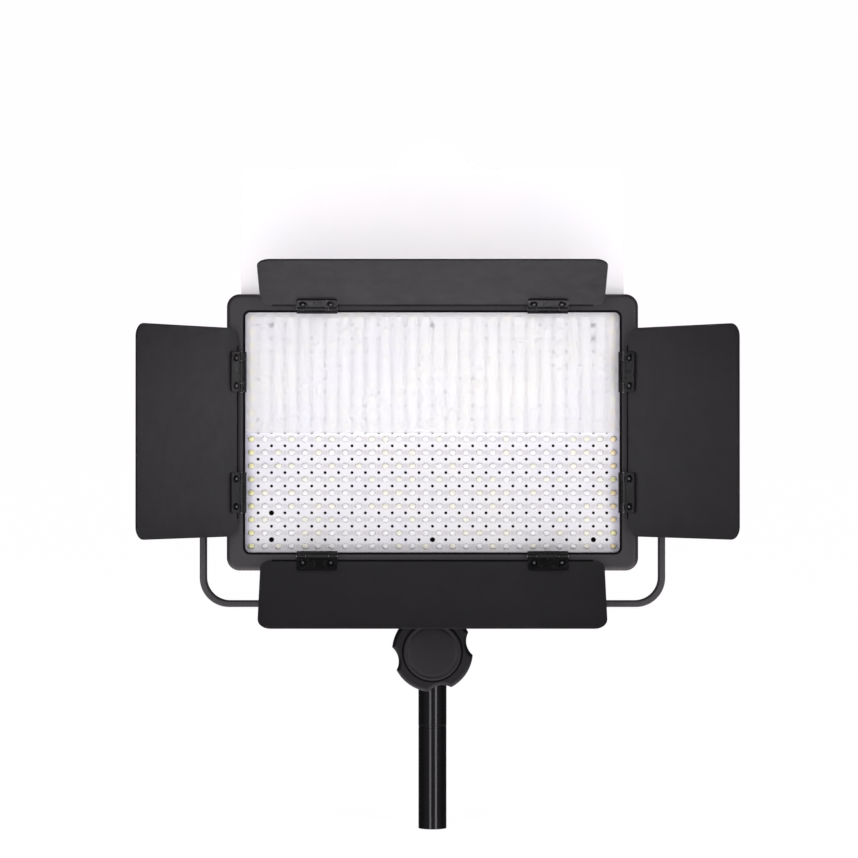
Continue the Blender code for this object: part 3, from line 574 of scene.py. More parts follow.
def white_board():
    """White lacquer with painted shade along the rows of LEDs, darkest between them, and a painted bluish
    reflection at the two ends.
    """
    look = coated("white_board", (0.80, 0.80, 0.80), 0.42, 0.0012, 0.00001, 0.012)
    tint = look.spread(look.noise(0.03, 2.0), 0.0, 1.0)
    base = look.blend(tint, (0.71, 0.725, 0.71), (0.685, 0.70, 0.73))
    spot = look.add("ShaderNodeSeparateXYZ", [("Vector", look.place)])
    across = look.wave(spot.outputs["X"], 0.0)
    up = look.wave(spot.outputs["Z"], HEAD_Z + LED_PITCH / 2)
    both = look.add("ShaderNodeMath", [(0, across), (1, up)], operation="MINIMUM")
    # Painted shade along each row of LEDs
    base = look.blend(look.spread(up, 0.0, 0.5, -0.3, 0.7), base, (0.60, 0.60, 0.61))
    # Painted shade, darkest midway between neighbouring LEDs of a row
    base = look.blend(look.spread(both.outputs[0], 0.0, 0.5, 0.25, 0.85), base, (0.45, 0.45, 0.46))
    # Painted bluish reflection towards the board's left and right ends
    aside = look.add("ShaderNodeMath", [(0, spot.outputs["X"])], operation="ABSOLUTE")
    ends = look.spread(aside.outputs[0], 0.0, 0.5, 0.1425, 0.1520)
    look.set("Base Color", look.blend(ends, base, (0.56, 0.56, 0.72)))
    return look.material


def led_lens(name, colour):
    """Milky epoxy, tinted by the phosphor under it."""
    look = Look(name, colour, 0.25, transmission_weight=0.15, ior=1.33)
    look.set("Roughness", look.spread(look.noise(0.004), 0.2, 0.3))
    look.bump(look.noise(0.0012, 2.0), 0.000006)
    return look.material


def opal_plastic():
    """Frosted sheet: most of the light goes through, softened."""
    look = Look("opal_plastic", (0.80, 0.80, 0.80), 0.74, transmission_weight=0.85, ior=1.4)
    cloudy = look.spread(look.noise(0.05, 2.0), 0.0, 1.0)
    look.set("Base Color", look.blend(cloudy, (0.81, 0.81, 0.80), (0.79, 0.795, 0.805)))
    look.set("Roughness", look.spread(look.noise(0.02, 3.0), 0.72, 0.78))
    return look.material


def circuit_board():
    look = coated("circuit_board", (0.02, 0.11, 0.045), 0.4, 0.0008, 0.00001)
    links = [("Vector", look.place), ("Scale", 160.0), ("Mortar Size", 0.03)]
    tracks = look.add("ShaderNodeTexBrick", links)
    look.set("Base Color", look.blend(tracks.outputs["Fac"], (0.015, 0.10, 0.04), (0.03, 0.16, 0.06)))
    return look.material


def display_glass():
    look = Look("display_glass", (0.012, 0.014, 0.017), 0.08, coat_weight=1.0, coat_roughness=0.03)
    darker, lighter = shades((0.012, 0.014, 0.017), 0.3)
    look.set("Base Color", look.blend(look.spread(look.noise(0.008), 0.0, 1.0), darker, lighter))
    look.set("Roughness", look.spread(look.noise(0.005, 5.0), 0.05, 0.14))
    return look.material


# Materials: name, colour and roughness, then a coating's grain size, relief depth, mottle, metallic and wear,
# or how far a brushed metal's lines are drawn out along X, Y and Z
TUBE_PAINT = gloss_paint("tube_paint", 0.13)
SOCKET_CASTING = gloss_paint("socket_casting", 0.14)
YOKE_PAINT = plain("yoke_paint", (0.029, 0.027, 0.030), 0.4, 0.0005, 0.000016, wear=0.2, shine=0.35)
KNOB_PLASTIC = knob_plastic()
CAP_PLASTIC = cap_plastic()
FRAME_PAINT = plain(
    "frame_paint", (0.018, 0.0164, 0.0186), 0.44, 0.00045, 0.000018, 0.1, wear=0.08, shine=0.35
)
HOUSING_PAINT = housing_paint()
RUBBER = plain("gasket_rubber", (0.002, 0.0018, 0.0022), 0.7, 0.0008, 0.00002, shine=0.06)
DOOR_SHEET = door_sheet()
# Painted shade: a near-black for the rims of the doors and hinge leaves, standing for the shadow along their
# edges
EDGE_SHADE_PAINT = plain("dark_edge", (0.004, 0.0036, 0.0043), 0.7, 0.0003, 0.00002, 0.2, shine=0.12)
HINGE_STEEL = plain(
    "hinge_steel", (0.0018, 0.0016, 0.002), 0.27, 0.0006, 0.00001, 0.15, 0.1, 0.12, shine=0.32
)
RIVET_STEEL = brushed("rivet_steel", (0.16, 0.155, 0.165), 0.35, (1, 1, 1))
BARE_STEEL = brushed("bare_steel", (0.52, 0.52, 0.53), 0.3, (1, 1, 12))
BLACKENED_STEEL = brushed("blackened_steel", (0.012, 0.011, 0.013), 0.3, (1, 1, 12))
PIN_STEEL = brushed("pin_steel", (0.30, 0.30, 0.31), 0.32, (6, 6, 6))
BRASS = brushed("brass", (0.62, 0.46, 0.19), 0.34, (8, 1, 1))
BARE_ALUMINIUM = brushed("bare_aluminium", (0.66, 0.66, 0.67), 0.36, (20, 1, 1))
WHITE_BOARD = white_board()
LED_FLANGE = plain("led_flange", (0.86, 0.86, 0.86), 0.3, 0.0008, 0.000006, 0.03)
PIN_PLASTIC = plain("pin_plastic", (0.0012, 0.0011, 0.0013), 0.7, 0.0004, 0.00001, shine=0.03)
OPAL_PLASTIC = opal_plastic()
CIRCUIT_BOARD = circuit_board()
DISPLAY_GLASS = display_glass()
PANEL_PLASTIC = plain("panel_plastic", (0.020, 0.020, 0.022), 0.55, 0.0003, 0.000025, wear=0.1)
DIAL_PLASTIC = plain("dial_plastic", (0.017, 0.017, 0.019), 0.45, 0.0004, 0.000015, 0.15, wear=0.2)
SWITCH_PLASTIC = plain("switch_plastic", (0.012, 0.012, 0.013), 0.3, 0.0007, 0.000008, wear=0.1)
BUTTON_PLASTIC = plain("button_plastic", (0.085, 0.085, 0.092), 0.5, 0.0004, 0.000015, 0.1, wear=0.15)
PRINTED_WHITE = plain("printed_white", (0.62, 0.62, 0.60), 0.6, 0.0003, 0.000004, 0.08)
PRINTED_GREY = plain("display_segment", (0.20, 0.22, 0.21), 0.45, 0.0003, 0.000003, 0.1)


# ---------------------------------------------------------------- stand, socket and clamp


def make_riser():
    """The tube, and a collar over the joint line above it."""
    low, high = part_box("riser_tube")
    outer = high.x
    inner = outer - 0.002
    profile = [(inner, high.z), (outer, high.z), (outer, low.z), (inner, low.z)]
    smooth = soften(profile, 0.0006, closed=True)
    shape = turned([*smooth, smooth[0]], at(0, 0, 0), 96)
    piece("riser_tube_fine", shape, [TUBE_PAINT], "stand_top", "tube_paint", "riser_tube")
    inside = SOCKET_RADIUS - 0.0014
    outside = SOCKET_RADIUS - 0.00004
    foot = high.z - 0.0002
    top = SOCKET_FOOT - 0.0001
    profile = [(inside, foot), (outside, foot), (outside, top), (inside, top), (inside, foot)]
    shape = turned(profile, at(0, 0, 0), 96)
    piece("riser_collar", shape, [TUBE_PAINT], "stand_top", "tube_paint")


def make_sleeve():
    """The socket's painted sleeve, turned finely."""
    outer = SOCKET_RADIUS + 0.00006
    inner = SOCKET_RADIUS - 0.0004
    low = SOCKET_FOOT
    high = low + SLEEVE_LENGTH
    profile = [(inner, low + 0.0001), (outer - 0.0002, low), (outer, low + 0.0002)]
    profile += [(outer, high), (inner, high), (inner, low + 0.0001)]
    shape = turned(profile, at(0, 0, 0), 96)
    piece("socket_sleeve", shape, [SOCKET_CASTING], "yoke", "socket_casting")


def make_clamp_knob():
    """The grip with four notches, its shoulder, and the seat for the cap."""
    back, front = -KNOB_HIGH.y, -KNOB_LOW.y
    axis = at(0, 0, CLAMP_Z) @ facing("-Y")
    outline = notched(0.033, 4, 0.019, 0.0047, 11, 9)
    levels = rims(back, front - 0.0035, 0.0014, 0.0, 4)[:6]
    levels += [(0.0003, front - 0.0024), (0.0009, front - 0.0014), (0.0017, front - 0.0007)]
    levels += [(0.0025, front - 0.0002), (0.0032, front)]
    shape = prism(outline, levels, axis)
    knob = new_object("clamp_knob_grip", shape, [KNOB_PLASTIC])
    seat_radius = 0.0246
    profile = [(0, front + 0.001), (seat_radius + 0.0014, front + 0.001), (seat_radius, front - 0.0004)]
    profile += [(seat_radius, front - 0.0024), (0, front - 0.0024)]
    seat = turned(profile, axis, 96)
    counterbore = [(0, 0.03), (0.0074, 0.03), (0.0074, 0.0205), (0.0043, 0.0205), (0.0043, 0.01), (0, 0.01)]
    combine(knob, [seat, turned(counterbore, axis)])
    finish(knob, "clamp_knob", "knob_plastic", "clamp_knob")


def make_clamp_cap():
    """A slightly domed disc with a shallow ring near its edge."""
    profile = [(0, 0.0), (0.008, -0.00003), (0.0150, -0.00014), (0.0186, -0.00030), (0.0200, -0.00062)]
    profile += [(0.0208, -0.00066), (0.0216, -0.00034), (0.0228, -0.00042), (0.0236, -0.0009)]
    profile += [(0.0240, -0.0016), (0.0240, -0.0028), (0, -0.0028)]
    shape = turned(soften(profile, 0.0004), at(0, -CAP_FRONT, CLAMP_Z) @ facing("-Y"), 96)
    piece("clamp_cap", shape, [CAP_PLASTIC], "clamp_knob", "cap_plastic", "clamp_knob_cap")


# ---------------------------------------------------------------- yoke and tilt locks


def make_yoke():
    """A strip swept round the U. Its depth narrows to round ends above the tilt axis."""
    outside = YOKE_HIGH.x
    floor = YOKE_LOW.z - HEAD_Z
    half_thick = 0.0025
    half_deep = 0.010
    bend = 0.024 - half_thick
    side = outside - half_thick
    bottom = floor + half_thick
    stations = []
    for step in range(9):
        angle = math.pi / 2 * step / 8
        stations.append((-side, half_deep * math.cos(angle), half_deep * max(math.sin(angle), 0.09), 180))
    for step in range(1, 7):
        stations.append((-side, step * (bottom + bend) / 7, half_deep, 180))
    for x, z in arc((-side + bend, bottom + bend), bend, 180, 270, 14):
        angle = math.degrees(math.atan2(z - bottom - bend, x + side - bend))
        stations.append((x, z, half_deep, angle))
    mirrored = [(-x, z, deep, 180 - angle) for x, z, deep, angle in reversed(stations)]
    middle = [(x, bottom, half_deep, 270) for x in (-0.10, -0.05, 0.0, 0.05, 0.10)]
    rings = []
    for x, z, deep, angle in stations + middle + mirrored:
        out = Vector((math.cos(math.radians(angle)), 0, math.sin(math.radians(angle))))
        corner = min(0.0011, deep * 0.8)
        section = rounded(-half_thick, half_thick, -deep, deep, [corner] * 4, 4)
        rings.append([Vector((x, 0, HEAD_Z + z)) + out * a + Vector((0, b, 0)) for a, b in section])
    shape = bmesh.new()
    add_loft(shape, rings)
    yoke = new_object("yoke_strip", shape, [YOKE_PAINT])
    bores = [turned(rod(0.0034, 0.18, 0.20), in_head(0, 0, 0, way), 40) for way in ("-X", "+X")]
    bores.append(turned(rod(0.0043, -0.01, 0.01), in_head(0, 0, bottom, "+Z"), 40))
    combine(yoke, bores)
    finish(yoke, "yoke", "yoke_paint", "yoke_bar")


def make_tilt_knob(name, direction):
    """A star grip with a dished face, its hub and its stud."""
    axis = in_head(0, 0, 0, direction)
    front = 0.2082
    back = 0.1957
    hub_back = 0.1927
    outline = notched(0.016, 6, 0.0085, 0.0022, 0, 6)
    levels = [(distance, 0.016, height) for distance, height in rims(back, front, 0.0012, 0.0016, 5)]
    levels += [(0, 0.0118, front), (0, 0.0108, front - 0.0001), (0, 0.0100, front - 0.0007)]
    levels += [(0, 0.0080, front - 0.0007), (0, 0.0074, front - 0.0002)]
    shape = bmesh.new()
    add_grip(shape, outline, levels, axis)
    add_turned(shape, rod(0.008, hub_back, back + 0.002), axis, 48)
    stud = [(0, hub_back + 0.001), (0.003, hub_back + 0.001), (0.003, 0.1715), (0.0025, 0.171), (0, 0.171)]
    add_turned(shape, stud, axis, 32, 1)
    piece(f"{name}_grip", shape, [KNOB_PLASTIC, BARE_STEEL], name, "knob_plastic", name)


# ---------------------------------------------------------------- head: bezel and LEDs


def make_bezel():
    """The front frame, with its window, a step for the gasket and the diffuser's slot."""
    place = in_head(0, 0, 0)
    outline = centred(HEAD_WIDTH, HEAD_HEIGHT, HEAD_CORNER, 16)
    shape = prism(outline, rims(FRAME_BACK, FRONT, 0.0003, 0.0040, 7), place)
    bezel = new_object("bezel", shape, [FRAME_PAINT])
    slot_front = 0.0243
    slot_back = 0.0217
    step = slot_front + 0.0014
    window = bmesh.new()
    window_outline = centred(WINDOW_WIDTH, WINDOW_HEIGHT, WINDOW_CORNER, 10)
    levels = [(0, FRAME_BACK - 0.001), (0, step), (-GASKET - 0.0001, step + 0.00002)]
    levels += [(-GASKET - 0.0001, FRONT - 0.0003), (-GASKET - 0.0004, FRONT + 0.0001)]
    add_prism(window, window_outline, levels, place)
    pocket = bmesh.new()
    levels = [(0, FRAME_BACK - 0.002), (0, slot_back + 0.0006)]
    add_prism(pocket, centred(0.307, 0.1975, 0.003, 5), levels, place)
    groove = bmesh.new()
    low = (-0.1565, -0.1025, slot_back)
    high = (0.1565, HEAD_HEIGHT / 2 + 0.002, slot_front)
    add_box(groove, low, high, place, 0.00005)
    combine(bezel, [groove, pocket, window])
    finish(bezel, "head", "frame_paint", "front_frame")


def make_gasket():
    """The black strip round the window's edge."""
    place = in_head(0, 0, 0)
    back = 0.0258
    front = FRONT
    outline = centred(WINDOW_WIDTH, WINDOW_HEIGHT, WINDOW_CORNER, 10)
    section = [(0.0, back), (0.0, front - 0.0007), (-0.0002, front - 0.0002), (-0.0006, front)]
    section += [(-GASKET + 0.0002, front), (-GASKET, front - 0.0002), (-GASKET, back)]
    rings = []
    for distance, height in section:
        rings.append([place @ Vector((x, y, height)) for x, y in inset(outline, distance)])
    shape = bmesh.new()
    levels = [[shape.verts.new(point) for point in ring] for ring in rings]
    count = len(outline)
    for number, lower in enumerate(levels):
        upper = levels[(number + 1) % len(levels)]
        for index in range(count):
            after = (index + 1) % count
            shape.faces.new((lower[index], lower[after], upper[after], upper[index]))
    piece("window_gasket", shape, [RUBBER], "head", "frame_paint")


def led_places():
    """(column, row, x, z) of each LED, from the head's centre. Row 0 is the lowest."""
    for column in range(LED_COLUMNS):
        for row in range(LED_ROWS):
            x = (column - (LED_COLUMNS - 1) / 2) * LED_PITCH
            z = (row - (LED_ROWS - 1) / 2) * LED_PITCH
            yield column, row, x, z


def cell_ring(shape, place, x, z, radius, height, squeeze=1.0):
    """Twelve points about a cell's centre: an oval, or with no radius the cell's diamond outline."""
    ring = []
    for step in range(12):
        angle = math.pi / 6 * step
        reach = radius or LED_PITCH / 2 / (abs(math.cos(angle)) + abs(math.sin(angle)))
        rise = reach * math.sin(angle) * (squeeze if radius else 1.0)
        ring.append(shape.verts.new(place @ Vector((x + reach * math.cos(angle), z + rise, height))))
    return ring


def add_cell(shape, place, x, z, steps, squeeze=1.0):
    """One pierced diamond of the cover. steps are its rings' (radius, height), outside first."""
    rings = [cell_ring(shape, place, x, z, radius, height, squeeze) for radius, height in steps]
    for outer, inner in zip(rings, rings[1:]):
        for index in range(12):
            after = (index + 1) % 12
            shape.faces.new((outer[index], outer[after], inner[after], inner[index]))


def make_cover():
    """The white plate over the board: wide openings round the LEDs, and collared holes between them."""
    place = in_head(0, 0, 0)
    opening = [(0, COVER_FRONT), (0.0033, COVER_FRONT), (0.0030, COVER_FRONT - 0.0003), (0.0030, COVER_BACK)]
    shape = bmesh.new()
    for _, _, x, z in led_places():
        add_cell(shape, place, x, z, [*opening, (0, COVER_BACK)], LED_SQUEEZE)
    for column, row, x, z in hole_places(border=1):
        if column in (-1, LED_COLUMNS - 1) or row in (-1, LED_ROWS - 1):
            for height in (COVER_FRONT, COVER_BACK):
                shape.faces.new(cell_ring(shape, place, x, z, 0, height))
            continue
        radius = SCREW_RADIUS + 0.0003 if (column, row) in SCREW_CELLS else HOLE_RADIUS
        collar = COVER_FRONT + 0.0002
        rings = [(0, COVER_FRONT), (radius + 0.0011, COVER_FRONT), (radius + 0.0007, collar)]
        rings += [(radius, collar), (radius, COVER_BACK), (0, COVER_BACK)]
        add_cell(shape, place, x, z, rings)
    bmesh.ops.remove_doubles(shape, verts=shape.verts, dist=1e-6)
    trim(shape, LED_COLUMNS * LED_PITCH / 2, LED_ROWS * LED_PITCH / 2)
    piece("led_cover", shape, [WHITE_BOARD], "head", "white_board")


def trim(shape, right, top):
    """Cuts the cover to its rectangle and closes its four sides."""
    centre = Vector((0, 0, HEAD_Z))
    for outward, reach in ((Vector((1, 0, 0)), right), (Vector((0, 0, 1)), top)):
        for side in (-1, 1):
            geometry = [*shape.verts, *shape.edges, *shape.faces]
            bmesh.ops.bisect_plane(
                shape,
                geom=geometry,
                dist=1e-6,
                plane_co=centre + outward * side * reach,
                plane_no=outward * side,
                clear_outer=True,
            )
    sides = [edge for edge in shape.edges if edge.is_boundary]
    bmesh.ops.bridge_loops(shape, edges=sides)


def hole_places(border=0):
    """(column, row, x, z) of each hole between four LEDs, and of those on the border if asked."""
    for column in range(-border, LED_COLUMNS - 1 + border):
        for row in range(-border, LED_ROWS - 1 + border):
            x = (column + 1 - LED_COLUMNS / 2) * LED_PITCH
            z = (row + 1 - LED_ROWS / 2) * LED_PITCH
            yield column, row, x, z


def make_pins():
    """A black pin in each hole, and a socket-head screw where the board is fastened."""
    pins = bmesh.new()
    screws = bmesh.new()
    for column, row, x, z in hole_places():
        place = in_head(x, 0, z)
        if (column, row) in SCREW_CELLS:
            head = [(0, 0.0186), (0.0008, 0.0186), (0.0009, 0.0193), (0.0016, 0.0193)]
            head += [(SCREW_RADIUS, 0.0190), (SCREW_RADIUS, 0.0181), (0, 0.0181)]
            add_turned(screws, head, place, 24)
        else:
            side = HOLE_RADIUS - 0.00005
            add_turned(pins, [(0, 0.0187), (0.0007, 0.01865), *rod(side, 0.0181, 0.0184)[1:]], place, 12)
    piece("board_pins", pins, [PIN_PLASTIC], "head", "white_board")
    piece("board_screws", screws, [PIN_PLASTIC], "head", "white_board")


def phosphor_number(column):
    """Which phosphor an LED shows: greenish and amber in the outermost columns, mostly pale elsewhere."""
    if column == 0:
        return CHANCE.choices([2, 3], [8, 1])[0]
    if column == LED_COLUMNS - 1:
        return CHANCE.choices([2, 3], [3, 4])[0]
    return CHANCE.choices([0, 1], [3, 2])[0]


def make_leds():
    """Each LED is a white flange, a phosphor pad and a milky dome of its tint, a little wider than high."""
    flanges = bmesh.new()
    lenses = bmesh.new()
    pads = bmesh.new()
    flange_top = BOARD_FRONT + 0.0007
    bottom = flange_top + 0.0004
    dome = []
    for step in range(6):
        angle = math.pi / 2 * step / 5
        dome.append((LED_RADIUS * 0.93 * math.sin(angle), bottom + (LENS_TIP - bottom) * math.cos(angle)))
    for column, _, x, z in led_places():
        place = in_head(x, 0, z) @ Matrix.Diagonal((1.05, 1.05 * LED_SQUEEZE, 1, 1))
        base = [(0, flange_top), (LED_RADIUS - 0.0001, flange_top), (LED_RADIUS, flange_top - 0.0001)]
        base += [(LED_RADIUS, BOARD_FRONT + 0.00005), (0, BOARD_FRONT + 0.00005)]
        add_turned(flanges, base, place, 16)
        pad = [(0, flange_top + 0.00035), (0.0013, flange_top + 0.0003), (0.0019, flange_top + 0.00005)]
        number = phosphor_number(column)
        add_turned(pads, [*pad, (0, flange_top + 0.00005)], place, 12, number)
        add_turned(lenses, [*dome, (0, bottom)], place, 16, number)
    domes = []
    tints = []
    for name, colour in PHOSPHORS.items():
        domes.append(led_lens(f"lens_{name}", colour))
        tints.append(plain(f"phosphor_{name}", colour, 0.6, 0.0003, 0.00002, 0.05))
    piece("led_flanges", flanges, [LED_FLANGE], "head", "led_plastic")
    piece("led_pads", pads, tints, "head", "led_plastic")
    piece("led_lenses", lenses, domes, "head", "led_plastic", "led_array")


def make_diffuser():
    """A frosted sheet with a round pull tab, half pulled up out of its slot."""
    half = DIFFUSER_HIGH.x
    bottom = DIFFUSER_LOW.z - HEAD_Z
    tab_radius = 0.033
    tab_rise = 0.022
    fillet = 0.008
    top = DIFFUSER_HIGH.z - HEAD_Z - tab_rise
    tab_centre = top + tab_rise - tab_radius
    fillet_z = top + fillet
    reach = tab_radius + fillet
    fillet_x = math.sqrt(reach**2 - (fillet_z - tab_centre) ** 2)
    lean = math.degrees(math.asin((fillet_z - tab_centre) / reach))
    steps = 8
    square = rounded(-half, half, bottom, top, (0.003, 0.003, 0.007, 0.007), steps)
    before_tab = 3 * (steps + 1)
    tab = arc((fillet_x, fillet_z), fillet, 270, 180 + lean, 8)
    tab += arc((0, tab_centre), tab_radius, lean, 180 - lean, 40)[1:-1]
    tab += arc((-fillet_x, fillet_z), fillet, -lean, -90, 8)
    outline = square[:before_tab] + tab + square[before_tab:]
    shape = bmesh.new()
    levels = rims(-DIFFUSER_HIGH.y, -DIFFUSER_LOW.y, 0.0004, 0.0004, 3)
    add_prism(shape, outline, levels, in_head(0, 0, 0))
    sheet = new_object("diffuser_sheet", shape, [OPAL_PLASTIC])
    sheet.visible_shadow = False  # so that the lamps' light reaches the board through it
    finish(sheet, "diffuser", "opal_plastic", "diffuser")


# ---------------------------------------------------------------- barn doors


def hinge_frame(outward, rise, angle):
    """A hinge axis: local X along the door, Y along the axis, Z out of its inner face."""
    forward = Vector((0, -1, 0))
    along = math.cos(angle) * outward + math.sin(angle) * forward
    normal = math.cos(angle) * forward - math.sin(angle) * outward
    place = Matrix((along, normal.cross(along), normal)).transposed().to_4x4()
    window_half = WINDOW_WIDTH / 2 if outward.x else WINDOW_HEIGHT / 2
    axis = outward * (window_half + HINGE_OUTSIDE_WINDOW)
    place.translation = Vector((0, -FRONT - rise, HEAD_Z)) + axis
    return place


def make_door(name, place, size):
    """The sheet with painted shade on its rims, a near-black strip along its hinge side that paints the shade
    in the gap to the frame, and the tails of its rivets on the outer face.
    """
    radii = (size["hinge_corner"], DOOR_CORNER, DOOR_CORNER, size["hinge_corner"])
    half = size["length"] / 2
    front = -LEAF_THICKNESS / 2 - GAP
    back = front - DOOR_THICKNESS
    shape = bmesh.new()
    outline = rounded(DOOR_START, size["reach"], -half, half, radii, 12)
    add_prism(shape, outline, rims(back, front, 0.0005, 0.0005, 3), place)
    # The sheet's rims take the second material, painted edge shade
    mark_sides(shape, place.col[2].to_3d())
    piece(f"{name}_sheet", shape, [DOOR_SHEET, EDGE_SHADE_PAINT], name, "door_sheet", name)
    trim_half = half - size["hinge_corner"]
    # Painted shade: a near-black strip in gasket rubber, standing for the shadow in the gap between the
    # door's hinge edge and the frame
    gap_shade_strip = bmesh.new()
    low = (DOOR_START - 0.0001, -trim_half, back - 0.0001)
    add_box(gap_shade_strip, low, (DOOR_START + 0.0021, trim_half, front + 0.0001), place, 0.0003)
    piece(f"{name}_hem", gap_shade_strip, [RUBBER], name, "door_sheet")
    tails = bmesh.new()
    for end in (-1, 1):
        for rivet in (-1, 1):
            spot = place @ at(0.0085, end * size["hinge_at"] + rivet * 0.0113, 0)
            tail = [(0, back - 0.0005), (0.0010, back - 0.00045), (0.0017, back - 0.0002)]
            tail += [(0.0018, back + 0.0003), (0, back + 0.0003)]
            add_turned(tails, tail, spot, 24)
    piece(f"{name}_rivet_tails", tails, [HINGE_STEEL], name, "hinge_steel")


def make_leaf(name, body, place):
    """The door's half of a hinge: plate with painted shade on its rims, middle knuckle and two rivets with
    bright centres.
    """
    half = HINGE_LENGTH / 2
    thick = LEAF_THICKNESS / 2
    tongue = half - KNUCKLE_LENGTH - GAP
    clear = KNUCKLE_RADIUS + 0.0006
    shape = bmesh.new()
    outline = rounded(clear, LEAF_REACH, -half, half, (0.0003, 0.0025, 0.0025, 0.0003), 6)
    add_prism(shape, outline, rims(-thick, thick, 0.0001, 0.00025, 3), place)
    # The plate's rims take the second material, painted edge shade
    mark_sides(shape, place.col[2].to_3d())
    leaf = new_object(name + "_plate", shape, [HINGE_STEEL, EDGE_SHADE_PAINT])
    knuckle = bmesh.new()
    section = [(clear + 0.001, -thick), (clear + 0.001, thick)]
    section += arc((0, 0), KNUCKLE_RADIUS, 13, 347, 24)
    end_rim = 0.0002
    levels = rims(-tongue, tongue, end_rim, end_rim, 2)
    turn = Matrix(((1, 0, 0, 0), (0, 0, -1, 0), (0, 1, 0, 0), (0, 0, 0, 1)))
    add_prism(knuckle, section, levels, place @ turn)
    combine(leaf, [knuckle], "UNION")
    combine(leaf, [turned(rod(PIN_RADIUS + 0.0001, -half, half), place @ turn, 20)])
    finish(leaf, body, "hinge_steel", name)
    rivets = bmesh.new()
    for end in (-1, 1):
        spot = place @ at(0.0085, end * 0.0113, thick + 0.00002)
        ring = [(0.0014, 0.0), (0.0014, 0.0004), (0.0020, 0.0004), (0.0024, 0.0008), (0.0027, 0.0008)]
        ring += [(0.0030, 0.0005), (0.0031, 0.0), (0.0014, 0.0)]
        add_turned(rivets, ring, spot, 32, 0)
        centre = [(0, 0.0011), (0.0007, 0.00105), (0.0011, 0.0008), *rod(0.00125, 0.0, 0.0004)[1:]]
        add_turned(rivets, centre, spot, 24, 1)
    piece(name + "_rivets", rivets, [RUBBER, RIVET_STEEL], body, "hinge_steel")


def make_barn_doors():
    for name, (outward, degrees, size) in DOORS.items():
        place = hinge_frame(outward, size["rise"], math.radians(degrees))
        make_door(f"door_{name}", place, size)
        for number, end in enumerate((-1, 1), start=1):
            spot = place @ at(0, end * size["hinge_at"], 0)
            make_leaf(f"hinge_leaf_{name}_{number}", f"door_{name}", spot)
            refine(f"hinge_base_{name}_{number}", HINGE_STEEL, 0.00012)
            refine(f"hinge_pin_{name}_{number}", PIN_STEEL, 0.0002)


# ---------------------------------------------------------------- back


def make_housing_screws():
    """Countersunk cross-head screws round the back's edge."""
    shape = bmesh.new()
    half_x = HEAD_WIDTH / 2 - 0.0125
    half_z = HEAD_HEIGHT / 2 - 0.0125
    spots = [(x, z) for x in (-half_x, 0, half_x) for z in (-half_z, half_z)]
    for x, z in spots:
        place = in_head(x, HOUSING_BACK, z, "+Y")
        head = [(0, 0.0002), (0.0006, 0.0002), (0.0008, 0.0011), (0.0018, 0.0010), (0.0026, 0.0006)]
        head += [(0.0028, 0.0001), (0.0028, -0.0004), (0, -0.0004)]
        add_turned(shape, head, place, 32)
    piece("housing_screws", shape, [BARE_STEEL], "head", "bare_steel")


def make_dial(name, x):
    """A fluted knob with a pointer line, over a printed ring of ticks."""
    axis = in_head(x, 0, DIAL_Z, "+Y")
    back = PANEL_BACK + 0.0003
    front = back + DIAL_HEIGHT
    outline = notched(DIAL_RADIUS, 30, 0.0012, 0.0004, 0, 2)
    levels = [(0.0008, back), (0.0003, back + 0.0003), (0.0003, back + 0.0018), (0, back + 0.0022)]
    levels += [(0, front - 0.0012), (0.0003, front - 0.0005), (0.0010, front - 0.0001), (0.0016, front)]
    levels = [(distance, DIAL_RADIUS, height) for distance, height in levels]
    levels += [(0, 0.0078, front), (0, 0.0066, front - 0.0005)]
    shape = bmesh.new()
    add_grip(shape, outline, levels, axis)
    add_turned(shape, rod(0.003, 0.0107, back + 0.001), axis, 32)
    piece(f"{name}_knob", shape, [DIAL_PLASTIC], name, "dial_plastic", name)
    pointer = bmesh.new()
    low = (-0.0004, 0.0030, front - 0.0006)
    add_box(pointer, low, (0.0004, 0.0064, front - 0.0003), upright(x, DIAL_Z), 0.0001)
    piece(f"{name}_pointer", pointer, [PRINTED_WHITE], name, "dial_plastic")
    ticks = bmesh.new()
    for step in range(11):
        turn = Matrix.Rotation(math.radians(-150 + 30 * step), 4, "Z")
        length = 0.0022 if step % 5 == 0 else 0.0014
        low = (-0.00018, DIAL_RADIUS + 0.0010, PANEL_BACK - 0.00005)
        high = (0.00018, DIAL_RADIUS + 0.0010 + length, PANEL_BACK + 0.00008)
        add_box(ticks, low, high, upright(x, DIAL_Z) @ turn, 0.00003)
    piece(f"{name}_ticks", ticks, [PRINTED_WHITE], "head", "panel_plastic")


def upright(x, z):
    """On the back: local Z out of the back, local Y up."""
    return at(x, 0, HEAD_Z + z) @ facing("+Y") @ Matrix.Rotation(math.pi, 4, "Z")


def make_display_marks():
    """Unlit seven-segment figures, two rows of four, under the display's glass."""
    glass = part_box("display_window")[1].y
    shape = bmesh.new()
    segments = [(0, 1, 1), (0, 0, 1), (0, -1, 1), (-1, 0.5, 0), (1, 0.5, 0), (-1, -0.5, 0), (1, -0.5, 0)]
    for row in (-1, 1):
        for figure in range(4):
            middle_x = (figure - 1.5) * 0.0082
            for side, level, flat in segments:
                x = middle_x + side * 0.0019
                y = row * 0.0044 + level * 0.0030
                half = (0.0015, 0.0003) if flat else (0.0003, 0.0012)
                low = (x - half[0], y - half[1], glass - 0.00003)
                high = (x + half[0], y + half[1], glass + 0.00005)
                add_box(shape, low, high, upright(*DISPLAY), 0.00003)
    piece("display_figures", shape, [PRINTED_GREY], "head", "display_glass")


